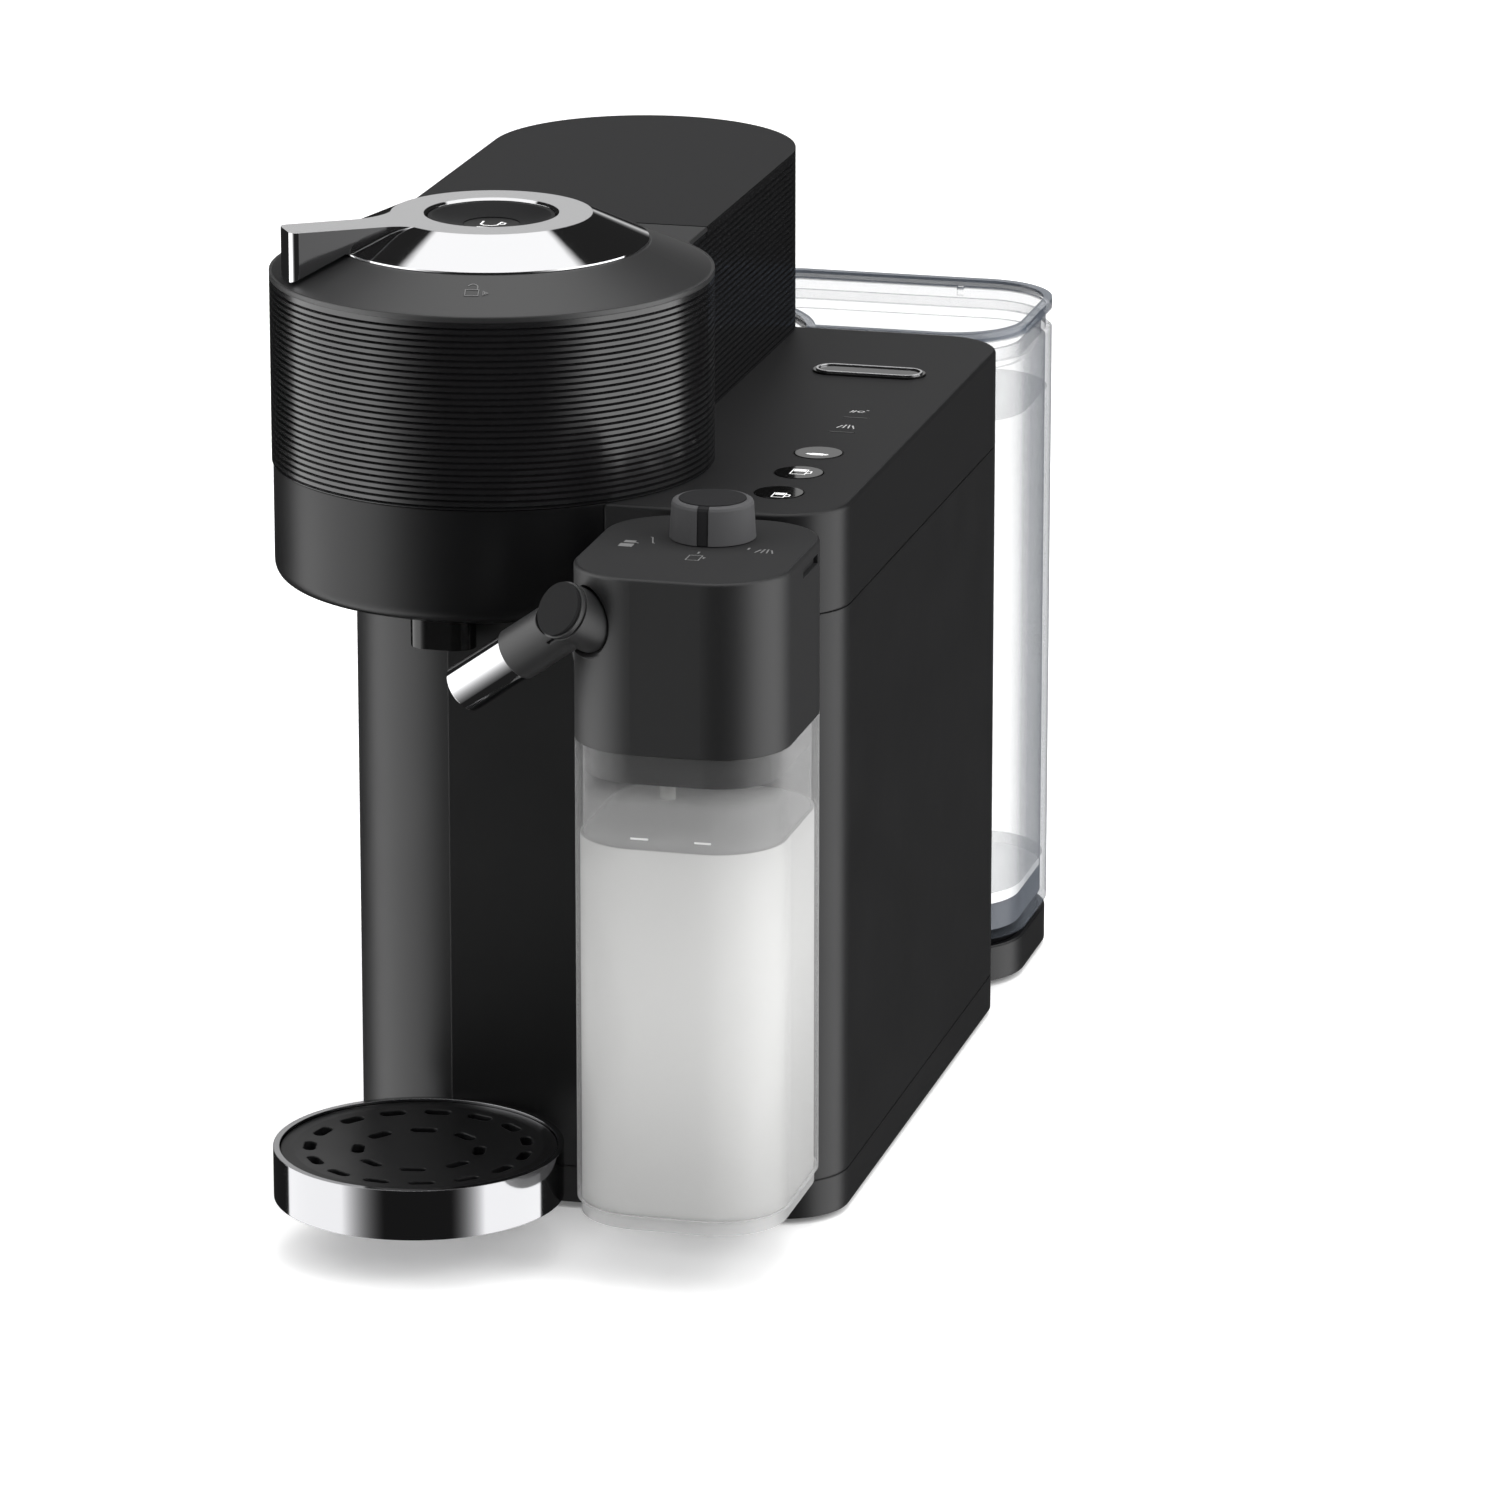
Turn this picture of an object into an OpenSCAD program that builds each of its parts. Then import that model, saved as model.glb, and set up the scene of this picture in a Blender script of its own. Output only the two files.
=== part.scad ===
// Capsule coffee machine with a milk carafe.
// Millimetres. +Z up, front towards -Y, standing on z = 0.
// Sub-parts are drawn about the drum axis and moved so that the whole machine is centred.

/* [Head] */
// Radius of the ribbed drum
drum_r = 74; // [66:0.5:82]
// Radius of the smooth band below the drum
band_r = 73.5; // [65:0.5:81]
// Half width of the ribbed cover behind the drum
cover_r = 54; // [48:0.5:60]
// Distance from the drum axis to the centre of the cover's round end
cover_len = 195; // [170:1:215]
// Radius of the hollow corner between drum and cover
cover_fillet = 10; // [6:0.5:14]
// Underside of the smooth band
band_z = 205.5; // [195:0.5:215]
// Height of the smooth band, up to the deck
band_h = 39; // [36:0.5:44]
// Height of the ribbed wall
rib_h = 63; // [56:0.5:68]
// Number of ribs
rib_count = 29; // [20:1:34]
// Depth of the groove between two ribs
rib_depth = 0.9; // [0.4:0.1:1.4]
// Thickness of the cap's edge
cap_edge = 1.8; // [1.2:0.2:3]
// Radius of the flat on top of the cap's cone
cone_r = 52.9; // [48:0.5:60]
// Height of the cap's cone
cone_h = 9.2; // [8:0.2:12]

/* [Lever ring and brew button] */
// Height of the lever ring above the cone
ring_h = 9.3; // [7:0.1:12]
// Outer radius of the ring's flat top
ring_flat_r = 33.6; // [30:0.2:38]
// Outer radius of the ring's foot
ring_foot_r = 52.4; // [46:0.2:58]
// Radius of the well for the button
well_r = 21.5; // [18:0.1:24]
// Direction of the lever, from +X
lever_angle = 213; // [180:1:240]
// Reach of the lever from the axis
lever_reach = 72; // [60:0.5:74]
// Width of the lever
lever_w = 14.2; // [10:0.2:18]
// Radius of the upright corners at the lever's end
lever_tip_r = 2.8; // [1:0.1:5]
// Sideways offset of the lever
lever_off = 3; // [0:0.2:5]
// Radius of the dark disc in the button
lens_r = 9.3; // [7:0.1:12]

/* [Housing] */
// Right face of the housing
body_x = 130; // [118:0.5:140]
// Distance of the front face from the drum axis
front_y = 52; // [46:0.5:58]
// Distance of the back face from the drum axis
back_y = 207; // [190:1:220]
// Radius of the upright corners
corner_r = 22; // [14:0.5:30]
// Left edge of the front face, beside the column
front_x = -1.6; // [-10:0.1:6]
// Radius of the column behind the cup
column_r = 46.3; // [40:0.1:52]
// Height of the deck cover's side, down to its seam
deck_side_h = 34; // [28:0.5:40]
// Rounding of the deck's edge
deck_edge = 1.3; // [0.6:0.1:3]
// Seam above the base
base_z = 15; // [10:0.5:20]
// Wall of the housing
wall = 2.5; // [2:0.1:3.5]
// Height of the rubber feet
foot_h = 2; // [1:0.5:4]

/* [Deck controls] */
// Sideways place of the three cup buttons
button_x = 104.3; // [96:0.5:112]
// Middle cup button, from the drum axis
button_y = 3.2; // [-4:0.5:10]
// Spacing of the cup buttons
button_pitch = 27.3; // [20:0.1:32]
// Radius of a cup button
button_r = 8; // [6:0.1:10]
// Length of the badge plate
badge_l = 40; // [30:1:50]
// Width of the badge plate
badge_w = 14; // [10:0.5:18]

/* [Water tank] */
// Left side of the tank
tank_x0 = 24; // [22:0.5:40]
// Right side of the tank
tank_x1 = 131.5; // [120:0.5:140]
// Front of the tank
tank_y0 = 210; // [208:0.5:214]
// Back of the tank
tank_y1 = 299; // [280:1:310]
// Radius of the right-hand corners
tank_r = 28; // [15:0.5:34]
// Clearance between the tank and the ribbed cover
tank_gap = 4; // [2:0.5:8]
// Lower edge of the tank lid
tank_rim_z = 233; // [225:0.5:238]
// Top of the tank lid
tank_z = 244; // [236:0.5:250]
// Width of the raised rim on the tank lid
tank_lip = 3.2; // [2.6:0.1:5]
// Depth of the tank lid's plate below its rim
tank_sink = 1; // [0.4:0.1:2]
// Top of the pedestal
pedestal_z = 17; // [15:0.5:22]

/* [Cup stand] */
// Sideways place of the stand
stand_x = 1; // [-2:0.5:2]
// Distance of the stand's centre from the drum axis
stand_y = 100.2; // [98:0.2:106]
// Radius of the stand
stand_r = 48; // [42:0.5:48]
// Underside of the stand
stand_z0 = 18.5; // [10:0.5:24]
// Top of the stand's ring
stand_z1 = 35.5; // [28:0.5:42]

/* [Milk carafe] */
// Left side of the carafe
milk_x0 = 59.5; // [54:0.5:64]
// Right side of the carafe
milk_x1 = 130.5; // [122:0.5:138]
// Distance of its front from the drum axis
milk_y0 = 136.5; // [128:0.5:145]
// Distance of its back from the drum axis
milk_y1 = 53.5; // [53:0.1:54]
// Radius of its corners
milk_r = 24; // [16:0.5:30]
// Underside of the container
milk_z0 = 24.4; // [22:0.2:30]
// Step above the container's foot
milk_foot_z = 29.3; // [26:0.1:34]
// Joint between container and lid
milk_lid_z = 185; // [175:0.5:195]
// Top of the lid
milk_z1 = 243; // [235:0.5:248]
// Depth of the plug that closes the container
plug_h = 10.5; // [6:0.5:16]
// Rounding of the lid's edge
lid_edge = 1.1; // [0.6:0.1:2.5]
// Sideways place of the froth knob
knob_x = 96; // [90:0.5:102]
// Distance of the knob from the drum axis
knob_y = 79; // [75:0.5:85]
// Radius of the knob's foot
knob_r = 14.05; // [12:0.05:17]
// Height of the knob
knob_h = 12.6; // [9:0.2:16]
// Depth of the rounding on the knob's top edge
knob_edge = 1.3; // [0.6:0.1:2]

/* [Milk spout] */
// Turn of the spout's pivot, from straight ahead
spout_turn = -35; // [-50:1:-20]
// Rise of the spout's pivot
spout_rise = 28; // [10:1:35]
// Angle of the spout round its pivot
spout_dir = 221; // [205:1:240]
// Radius of the pivot barrel
barrel_r = 9.4; // [8:0.1:11]
// Radius of the spout's sleeve
sleeve_r = 8.9; // [8:0.1:10]
// Length of the sleeve
sleeve_l = 26; // [20:0.5:32]
// Radius of the metal tube
tube_r = 8.1; // [7:0.1:8.5]
// Reach of the tube's tip
tube_l = 50; // [42:0.5:56]

/* [Hidden] */
$fn = 96;
mid_x = (tank_x1 - drum_r) / 2;
mid_y = (tank_y1 - stand_y - stand_r) / 2;
deck_z = band_z + band_h;
seam_z = deck_z - deck_side_h;
rim_z = deck_z + rib_h;
top_z = rim_z + cap_edge;
cone_z = top_z + cone_h;
ring_z = cone_z + ring_h;
seat_z = top_z + 2.5;
hub_r = 24;
stem_r = 8.1;
boss_z = rim_z - 1.5;
plate_z = rim_z - 21.5;
cup_z = band_z + 8.5;
plug_z = milk_lid_z - plug_h;
fil_y = sqrt(pow(drum_r + cover_fillet, 2) - pow(cover_r + cover_fillet, 2));
fil_x = cover_r + cover_fillet;
fil_a = atan2(fil_y, fil_x);
rib_wall = 3;
seam = 0.03;
post_in = rib_wall + 1.1;
hinge_y = drum_r + 1;
hinge_x = cover_r - 3.6;
pin_r = cap_edge / 2;
play = 0.05;
button_ys = [button_y - button_pitch, button_y, button_y + button_pitch];
cord_r = 3.6;
cord_angle = 112;
cord_z = 8.5;
port_z = 198;
port_x = 95;
spout_at = [67.5, -130, 226.5];
arm_z = 4.8;
bin_x0 = -43;
bin_x1 = 21;
bin_y0 = cover_len - 70;
bin_z0 = base_z + 3;
bin_z1 = band_z - 45.5;
bars = [[105.1, 81], [105.1, 60.3]];
bar_l = 8.6;
bar_w = 0.6;
badge_at = [94.4, 145];

shell_black = [0.13, 0.13, 0.14];
gloss_black = [0.05, 0.05, 0.06];
chrome = [0.82, 0.83, 0.85];
steel = [0.66, 0.67, 0.69];
clear_wall = [0.82, 0.88, 0.92, 0.4];
rubber = [0.18, 0.18, 0.19];
soft_grey = [0.38, 0.38, 0.4];
board_green = [0.1, 0.35, 0.2];

module frame() translate([-mid_x, -mid_y, 0]) children();

// Rounded rectangle with its own radius on the left and on the right
module rrect(x0, y0, x1, y1, rl, rr) {
  translate([x0 + rl, y0]) square([x1 - rr - x0 - rl, y1 - y0]);
  translate([x0, y0 + rl]) square([rl + 1, y1 - y0 - 2 * rl]);
  translate([x1 - rr - 1, y0 + rr]) square([rr + 1, y1 - y0 - 2 * rr]);
  for (y = [y0 + rl, y1 - rl]) translate([x0 + rl, y]) circle(r = rl);
  for (y = [y0 + rr, y1 - rr]) translate([x1 - rr, y]) circle(r = rr);
}

module pill(l, w) {
  square([l - w, w], center = true);
  for (s = [-1, 1]) translate([s * (l - w) / 2, 0]) circle(d = w);
}

// Outline from the drum axis back to the round end of the cover
module tower2d(r) {
  circle(r = r);
  translate([-r, 0]) square([2 * r, cover_len]);
  translate([0, cover_len]) circle(r = r);
}

// Way through the front wall for the steam nozzle
module port_hole() translate([port_x, -front_y - 1, port_z]) rotate([-90, 0, 0]) cylinder(r = 6, h = 6);

// Outline of the right-hand housing, inset by d
module box2d(d) {
  r = corner_r - d;
  translate([front_x + d, d - front_y]) square([body_x - r - front_x - 2 * d, back_y + front_y - 2 * d]);
  translate([body_x - d - r - 1, d - front_y + r]) square([r + 1, back_y + front_y - 2 * d - 2 * r]);
  for (y = [d - front_y + r, back_y - d - r]) translate([body_x - d - r, y]) circle(r = r);
}

// Upright section from the middle to x = a, with a rounded top edge
module edge2d(a, z0, z1, e) {
  translate([0, z0]) square([a, z1 - e - z0]);
  translate([0, z0]) square([a - e, z1 - z0]);
  translate([a - e, z1 - e]) circle(r = e, $fn = 48);
}

// Block with upright corners of radius r and a rounded top edge e; without the left ones it ends square
module soft_box(x0, y0, x1, y1, r, z0, z1, e, left = true) {
  xs = left ? x0 + r : x0;
  for (q = [[x1 - r, y0 + r, -90], [x1 - r, y1 - r, 0]]) translate([q[0], q[1], 0]) rotate([0, 0, q[2]]) rotate_extrude(angle = 90) edge2d(r, z0, z1, e);
  if (left) for (q = [[x0 + r, y0 + r, 180], [x0 + r, y1 - r, 90]]) translate([q[0], q[1], 0]) rotate([0, 0, q[2]]) rotate_extrude(angle = 90) edge2d(r, z0, z1, e);
  for (s = [0, 1]) translate([s ? x1 - r : xs, (y0 + y1) / 2, 0]) rotate([90, 0, s ? -90 : 90]) linear_extrude(x1 - r - xs) edge2d((y1 - y0) / 2, z0, z1, e);
  translate([x1 - r, y1 - r, 0]) rotate([90, 0, 0]) linear_extrude(y1 - y0 - 2 * r) edge2d(r, z0, z1, e);
  if (left) translate([xs, y0 + r, 0]) rotate([90, 0, 180]) linear_extrude(y1 - y0 - 2 * r) edge2d(r, z0, z1, e);
}

module head2d(d) {
  circle(r = band_r + d);
  tower2d(cover_r - 0.5 + d);
}

module tank2d(d) difference() {
  rrect(tank_x0 + d, tank_y0 + d, tank_x1 - d, tank_y1 - d, 10 - d, tank_r - d);
  translate([0, cover_len]) circle(r = cover_r + tank_gap + d);
}

module base2d(d) {
  tower2d(column_r - d);
  box2d(d);
  tank2d(d + 0.6);
  translate([70 + d, back_y - 20]) square([46 - 2 * d, 40]);
}

module milk2d(d) rrect(milk_x0 + d, d - milk_y0, milk_x1 - d, -milk_y1 - d, milk_r - d, milk_r - d);

// Section of the ribbed wall: outside face at x = 0, lower edge raised by lift
module rib_section(lift = 0) {
  p = (rim_z - deck_z - 1.2) / rib_count;
  polygon(concat(
    [[-rib_wall, deck_z + lift], [0, deck_z + lift]],
    [for (i = [0:rib_count - 1]) each [[0, deck_z + 0.6 + i * p], [-rib_depth, deck_z + 0.6 + (i + 0.22) * p], [0, deck_z + 0.6 + (i + 0.44) * p]]],
    [[0, rim_z], [-rib_wall, rim_z]]));
}

// Corner between drum and cover, with its hollow fillet, on both sides
module fillets2d() {
  for (s = [0, 1]) mirror([s, 0]) difference() {
    polygon([[40, fil_y], [fil_x, fil_y], [drum_r * cos(fil_a), drum_r * sin(fil_a)], [40, 40]]);
    translate([fil_x, fil_y]) circle(r = cover_fillet + 0.05);
  }
}

// Hinge knuckle from x0 to x1, with the plate it grows out of, drawn as y and z from the pin
module knuckle(x0, x1) translate([x0, hinge_y, rim_z]) rotate([90, 0, 90]) linear_extrude(x1 - x0) {
  circle(r = cap_edge, $fn = 48);
  children();
}

module hinge_rod(r, x0, x1) translate([x0, hinge_y, rim_z]) rotate([0, 90, 0]) cylinder(r = r, h = x1 - x0, $fn = 48);

// The spout's pivot: +Z runs out along it
module spout_frame() translate(spout_at) rotate([0, 0, spout_turn]) rotate([90 - spout_rise, 0, 0]) children();

// Along the spout from its pivot: +Z runs to the tip
module spout_axis() spout_frame() translate([0, 0, arm_z]) rotate([0, 0, spout_dir]) rotate([0, 90, 0]) children();

// ---------------------------------------------------------------- housing

module rubber_feet() color(rubber) frame()
  for (p = [[-20, -20], [108, -26], [-20, 215], [110, 182], [100, 272], [40, 60]]) translate([p[0], p[1], 0]) cylinder(r = 9, h = foot_h);

module base_tray() color(shell_black) frame() difference() {
  union() {
  translate([0, 0, foot_h]) linear_extrude(wall) base2d(0);
  translate([0, 0, foot_h]) linear_extrude(base_z - 0.5 - foot_h) difference() {
    base2d(0);
    base2d(wall);
  }
  translate([0, 0, foot_h + 1]) linear_extrude(base_z - foot_h - 1) difference() {
    base2d(0.5);
    base2d(wall);
  }
  }
  cord_frame() translate([0, 0, column_r - 10]) cylinder(r = 5, h = 20, $fn = 48);
}

module tank_pedestal() color(shell_black) frame() difference() {
  translate([0, 0, foot_h + wall]) linear_extrude(pedestal_z - foot_h - wall) tank2d(3.6);
  translate([0, 0, foot_h + wall]) linear_extrude(pedestal_z - foot_h - 2 * wall) tank2d(6);
  translate([90, tank_y0 - 2, 9.5]) rotate([-90, 0, 0]) cylinder(r = 4, h = 12);
  translate([90, 250, 10]) cylinder(r = 5, h = 10);
}

module side_casing() color(shell_black) frame() difference() {
  translate([0, 0, base_z]) linear_extrude(seam_z - 0.5 - base_z) difference() {
    box2d(0);
    box2d(wall);
    tower2d(column_r - wall);
  }
  translate([0, 0, band_z]) linear_extrude(20) head2d(0.3);
  // slot for the stand's tongue
  translate([2.7, -front_y - 5, stand_z0 + 3.7]) cube([14.6, 20, 8.6]);
  port_hole();
}

module column_shell() color(shell_black) frame() difference() {
  translate([0, 0, base_z]) linear_extrude(band_z - base_z) difference() {
    tower2d(column_r);
    tower2d(column_r - wall);
    box2d(0);
  }
  // way out of the capsule bin
  translate([bin_x0 - 0.6, cover_len + 5, bin_z0 - 1]) cube([bin_x1 - bin_x0 + 1.2, 60, bin_z1 - bin_z0 + 2]);
}

module deck_cover() color(shell_black) frame() difference() {
  union() {
    difference() {
      soft_box(front_x, -front_y, body_x, back_y, corner_r, seam_z, deck_z, deck_edge, false);
      translate([0, 0, seam_z - 1]) linear_extrude(deck_z - seam_z + 2) head2d(0.25);
    }
    translate([0, 0, seam_z - 0.5]) linear_extrude(5) difference() {
      box2d(0.5);
      head2d(0.75);
    }
  }
  translate([0, 0, seam_z - 1]) linear_extrude(deck_z - wall - seam_z + 1) difference() {
    box2d(wall);
    head2d(wall);
  }
  translate([cover_r - 3, 90, deck_z - 19.5]) rotate([0, 90, 0]) cylinder(r = 4.1, h = 8);
  port_hole();
  for (y = button_ys) translate([button_x, y, deck_z - 5]) cylinder(r = button_r + 0.35, h = 8);
  translate([badge_at[0], badge_at[1], deck_z - 1]) linear_extrude(2) pill(badge_l, badge_w);
  for (p = bars) translate([p[0] - bar_l / 2 - 0.1, p[1] - bar_w / 2 - 0.1, deck_z - 0.6]) cube([bar_l + 0.2, bar_w + 0.2, 2]);
}

module head_base() color(shell_black) frame() difference() {
  union() {
    rotate_extrude($fn = 144) {
      translate([0, band_z]) square([band_r - 5, deck_z - band_z]);
      translate([0, band_z + 5]) square([band_r, deck_z - band_z - 5]);
      translate([band_r - 5, band_z + 5]) circle(r = 5, $fn = 48);
    }
    translate([0, 0, band_z]) linear_extrude(deck_z - band_z) tower2d(cover_r - 0.5);
  }
  translate([0, 0, band_z + wall]) linear_extrude(deck_z - band_z - 2 * wall) {
    circle(r = band_r - wall - 3);
    tower2d(cover_r - 3);
  }
  cylinder_hole = 36;
  translate([0, 0, deck_z - 5]) cylinder(r = cylinder_hole, h = 10);
  translate([0, 0, band_z - 1]) cylinder(r = 8, h = 6);
  translate([0, -61.5, band_z - 1]) cylinder(r = 5.6, h = 6);
  // chute for used capsules
  for (z = [band_z - 1, deck_z - 4]) translate([bin_x0 + 5, bin_y0 + 3, z]) cube([bin_x1 - bin_x0 - 8, 72, 6]);
}

module rear_cover() color(shell_black) frame() difference() {
  union() {
    for (s = [0, 1]) mirror([s, 0, 0]) {
      rotate([0, 0, 0.2]) rotate_extrude(angle = fil_a - 0.2 - seam, $fn = 180) translate([drum_r, 0]) rib_section();
      translate([fil_x, fil_y, 0]) rotate([0, 0, 180]) rotate_extrude(angle = fil_a) translate([cover_fillet, 0]) mirror([1, 0]) rib_section();
      translate([cover_r, cover_len - seam, 0]) rotate([90, 0, 0]) linear_extrude(cover_len - fil_y - 2 * seam) rib_section();
      // posts inside the corners
      for (p = [[(drum_r - post_in) * cos(fil_a), (drum_r - post_in) * sin(fil_a)], [cover_r - post_in, fil_y], [cover_r - post_in, cover_len]])
        translate([p[0], p[1], deck_z + 1]) cylinder(r = 2.4, h = rim_z - deck_z - 2, $fn = 32);
    }
    translate([0, cover_len, 0]) rotate_extrude(angle = 180, $fn = 180) translate([cover_r, 0]) rib_section();
    difference() {
      translate([0, 0, rim_z - 0.5]) linear_extrude(cap_edge + 0.5) difference() {
        tower2d(cover_r - 1);
        translate([-80, -80]) square([160, 80 + hinge_y]);
      }
      hinge_rod(cap_edge + 0.4, -60, 60);
    }
    difference() {
      translate([0, 0, rim_z]) linear_extrude(cap_edge) difference() {
        tower2d(cover_r);
        translate([-80, -80]) square([160, 80 + hinge_y]);
      }
      hinge_rod(cap_edge + 0.4, -60, 60);
    }
    knuckle(-15, 15) translate([0, -cap_edge]) square([9, 2 * cap_edge]);
  }
  hinge_rod(pin_r + play, -20, 20);
  for (s = [0, 1]) mirror([s, 0, 0]) intersection() {
    hinge_rod(cap_edge + 0.2, hinge_x - 0.2, cover_r + 1);
    translate([0, hinge_y, rim_z - 10]) cube([80, 10, 20]);
  }
}

module hinge_pin() color(steel) frame() hinge_rod(pin_r, 1 - hinge_x, hinge_x - 1);

module coffee_nozzle() color(gloss_black) frame() translate([0, -61.5, 0]) difference() {
  union() {
    translate([0, 0, band_z - 10]) linear_extrude(10) pill(22, 13);
    translate([0, 0, band_z - 1]) cylinder(r = 5.5, h = 8);
  }
  for (s = [-1, 1]) translate([s * 4, 0, band_z - 11]) cylinder(r = 2, h = 10);
  translate([0, 0, band_z - 4]) cylinder(r = 3.6, h = 14);
  translate([-6, -1, band_z - 4]) cube([12, 2, 2]);
}

module badge_plate() color(gloss_black) frame() translate([badge_at[0], badge_at[1], deck_z - 1]) linear_extrude(1.8) pill(badge_l - 0.2, badge_w - 0.2);

module badge_rim() color(chrome) frame() translate([badge_at[0], badge_at[1], deck_z + 0.8]) linear_extrude(0.5) difference() {
  pill(badge_l - 2.2, badge_w - 2.2);
  pill(badge_l - 4, badge_w - 4);
}

module indicator_bars() color(gloss_black) frame()
  for (p = bars) translate([p[0] - bar_l / 2, p[1] - bar_w / 2, deck_z - 0.6]) cube([bar_l, bar_w, 0.7]);

module switch_board() color(board_green) frame() {
  z = deck_z - 14.5;
  translate([button_x - 13.3, -42, z]) cube([26, 92, 1.6]);
  for (y = button_ys) translate([button_x - 3, y - 3, z + 1.6]) cube([6, 6, 4.3]);
  for (x = [-11.3, 10.7], y = [-39, 17, 47]) translate([button_x + x, y, z + 1]) cylinder(r = 1.6, h = deck_z - wall - z - 1);
}

module spinner_motor() color(steel) frame() difference() {
  union() {
    translate([0, 0, band_z - 55.5]) cylinder(r = 25, h = 53);
    translate([0, 0, band_z - 2.5]) cylinder(r = 30, h = 2.5);
    translate([0, 0, band_z - 59.5]) cylinder(r = 9, h = 5);
  }
  translate([0, 0, band_z - 20.5]) cylinder(r = 3.05, h = 30, $fn = 48);
}

module thermoblock() color([0.7, 0.7, 0.72]) frame() {
  translate([57, 67, 30]) cube([46, 46, 100]);
  for (z = [36:10:126]) translate([54, 64, z]) cube([52, 52, 3]);
  for (x = [60, 100], y = [70, 110]) translate([x, y, foot_h + wall]) cylinder(r = 3, h = 26);
  translate([80, 90, 129]) cylinder(r = 6, h = 7);
}

module pump() color([0.75, 0.72, 0.68]) frame() {
  translate([48, 160, 46]) rotate([0, 90, 0]) cylinder(r = 17, h = 62);
  translate([60, 140, foot_h + wall]) cube([36, 40, 64]);
  translate([38, 160, 46]) rotate([0, 90, 0]) cylinder(r = 5, h = 12);
}

module control_board() color(board_green) frame() {
  translate([117, -10, 60]) cube([1.6, 120, 110]);
  translate([109, 10, 80]) cube([8.5, 24, 20]);
  translate([109, 60, 90]) cube([8.5, 28, 34]);
  for (y = [-4, 104], z = [66, 164]) translate([118, y, z]) rotate([0, 90, 0]) cylinder(r = 2.5, h = body_x - wall - 118);
}

module coffee_hose() color([0.85, 0.85, 0.82]) frame() {
  translate([80, 90, 136]) cylinder(r = 4, h = deck_z - 31.5 - 136);
  translate([68, 90, deck_z - 31.5]) rotate([90, 0, 0]) rotate_extrude(angle = 90) translate([12, 0]) circle(r = 4, $fn = 48);
  translate([cover_r - 0.5, 90, deck_z - 19.5]) rotate([0, 90, 0]) cylinder(r = 4, h = 68.5 - cover_r);
}

module water_hose() color([0.85, 0.85, 0.82]) frame() {
  translate([90, 180, 9.5]) rotate([-90, 0, 0]) cylinder(r = 3.5, h = 61);
  translate([90, 241, 9.5]) sphere(r = 3.5);
}

module steam_valve() color(steel) frame() {
  translate([port_x - 12, -front_y + wall, 186]) cube([24, 26, 22]);
  translate([port_x, -24, 190]) rotate([-90, 0, 0]) cylinder(r = 4, h = 16);
}

module steam_nozzle() color(chrome) frame() difference() {
  translate([port_x, -front_y + wall, port_z]) rotate([90, 0, 0]) cylinder(r = 4.5, h = 28, $fn = 48);
  translate([port_x, -front_y + wall - 2, port_z]) rotate([90, 0, 0]) cylinder(r = 2, h = 40, $fn = 48);
}

module carafe_dock() color(shell_black) frame() difference() {
  union() {
    translate([port_x - 24, -front_y - 0.9, port_z - 8.5]) cube([48, 0.9, 17]);
    for (s = [-1, 1]) translate([port_x + s * 17, -front_y, port_z]) rotate([90, 0, 0]) cylinder(r = 3, h = 14, $fn = 48);
  }
  translate([port_x, -front_y + 3, port_z]) rotate([90, 0, 0]) cylinder(r = 6, h = 10);
}

module tank_spigot() color(soft_grey) frame() translate([90, 250, 0]) difference() {
  union() {
    translate([0, 0, 13.5]) cylinder(r = 4.9, h = 4);
    translate([0, 0, pedestal_z]) cylinder(r = 9, h = 1);
    translate([0, 0, pedestal_z]) cylinder(r = 5, h = 10);
  }
  translate([0, 0, 13]) cylinder(r = 2.5, h = 20);
}

module bin_liner() color([0.2, 0.2, 0.21]) frame() {
  translate([bin_x0 - 0.4, bin_y0 - 4, foot_h + wall]) cube([bin_x1 - bin_x0 + 0.8, 70, bin_z0 - 0.3 - foot_h - wall]);
  translate([bin_x0 - 0.4, bin_y0 - 4, foot_h + wall]) cube([bin_x1 - bin_x0 + 0.8, 3, band_z - foot_h - wall]);
  translate([bin_x1 + 0.6, bin_y0 - 4, foot_h + wall]) cube([2, 70, band_z - foot_h - wall]);
  translate([bin_x1 - 2, bin_y0 - 4, foot_h + wall]) cube([3, 3, band_z - foot_h - wall]);
  translate([bin_x1 - 2, bin_y0 - 4, foot_h + wall]) cube([3, 70, 8]);
}

module cord_frame() translate([0, cover_len, cord_z]) rotate([0, 0, cord_angle]) rotate([0, 90, 0]) children();

module cord_gland() color(rubber) frame() cord_frame() difference() {
  union() {
    translate([0, 0, column_r - 6]) cylinder(r = 5, h = 10, $fn = 48);
    translate([0, 0, column_r]) cylinder(r = 6, h = 3, $fn = 48);
  }
  translate([0, 0, column_r - 10]) cylinder(r = cord_r, h = 20, $fn = 48);
}

// ---------------------------------------------------------------- opening head

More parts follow.
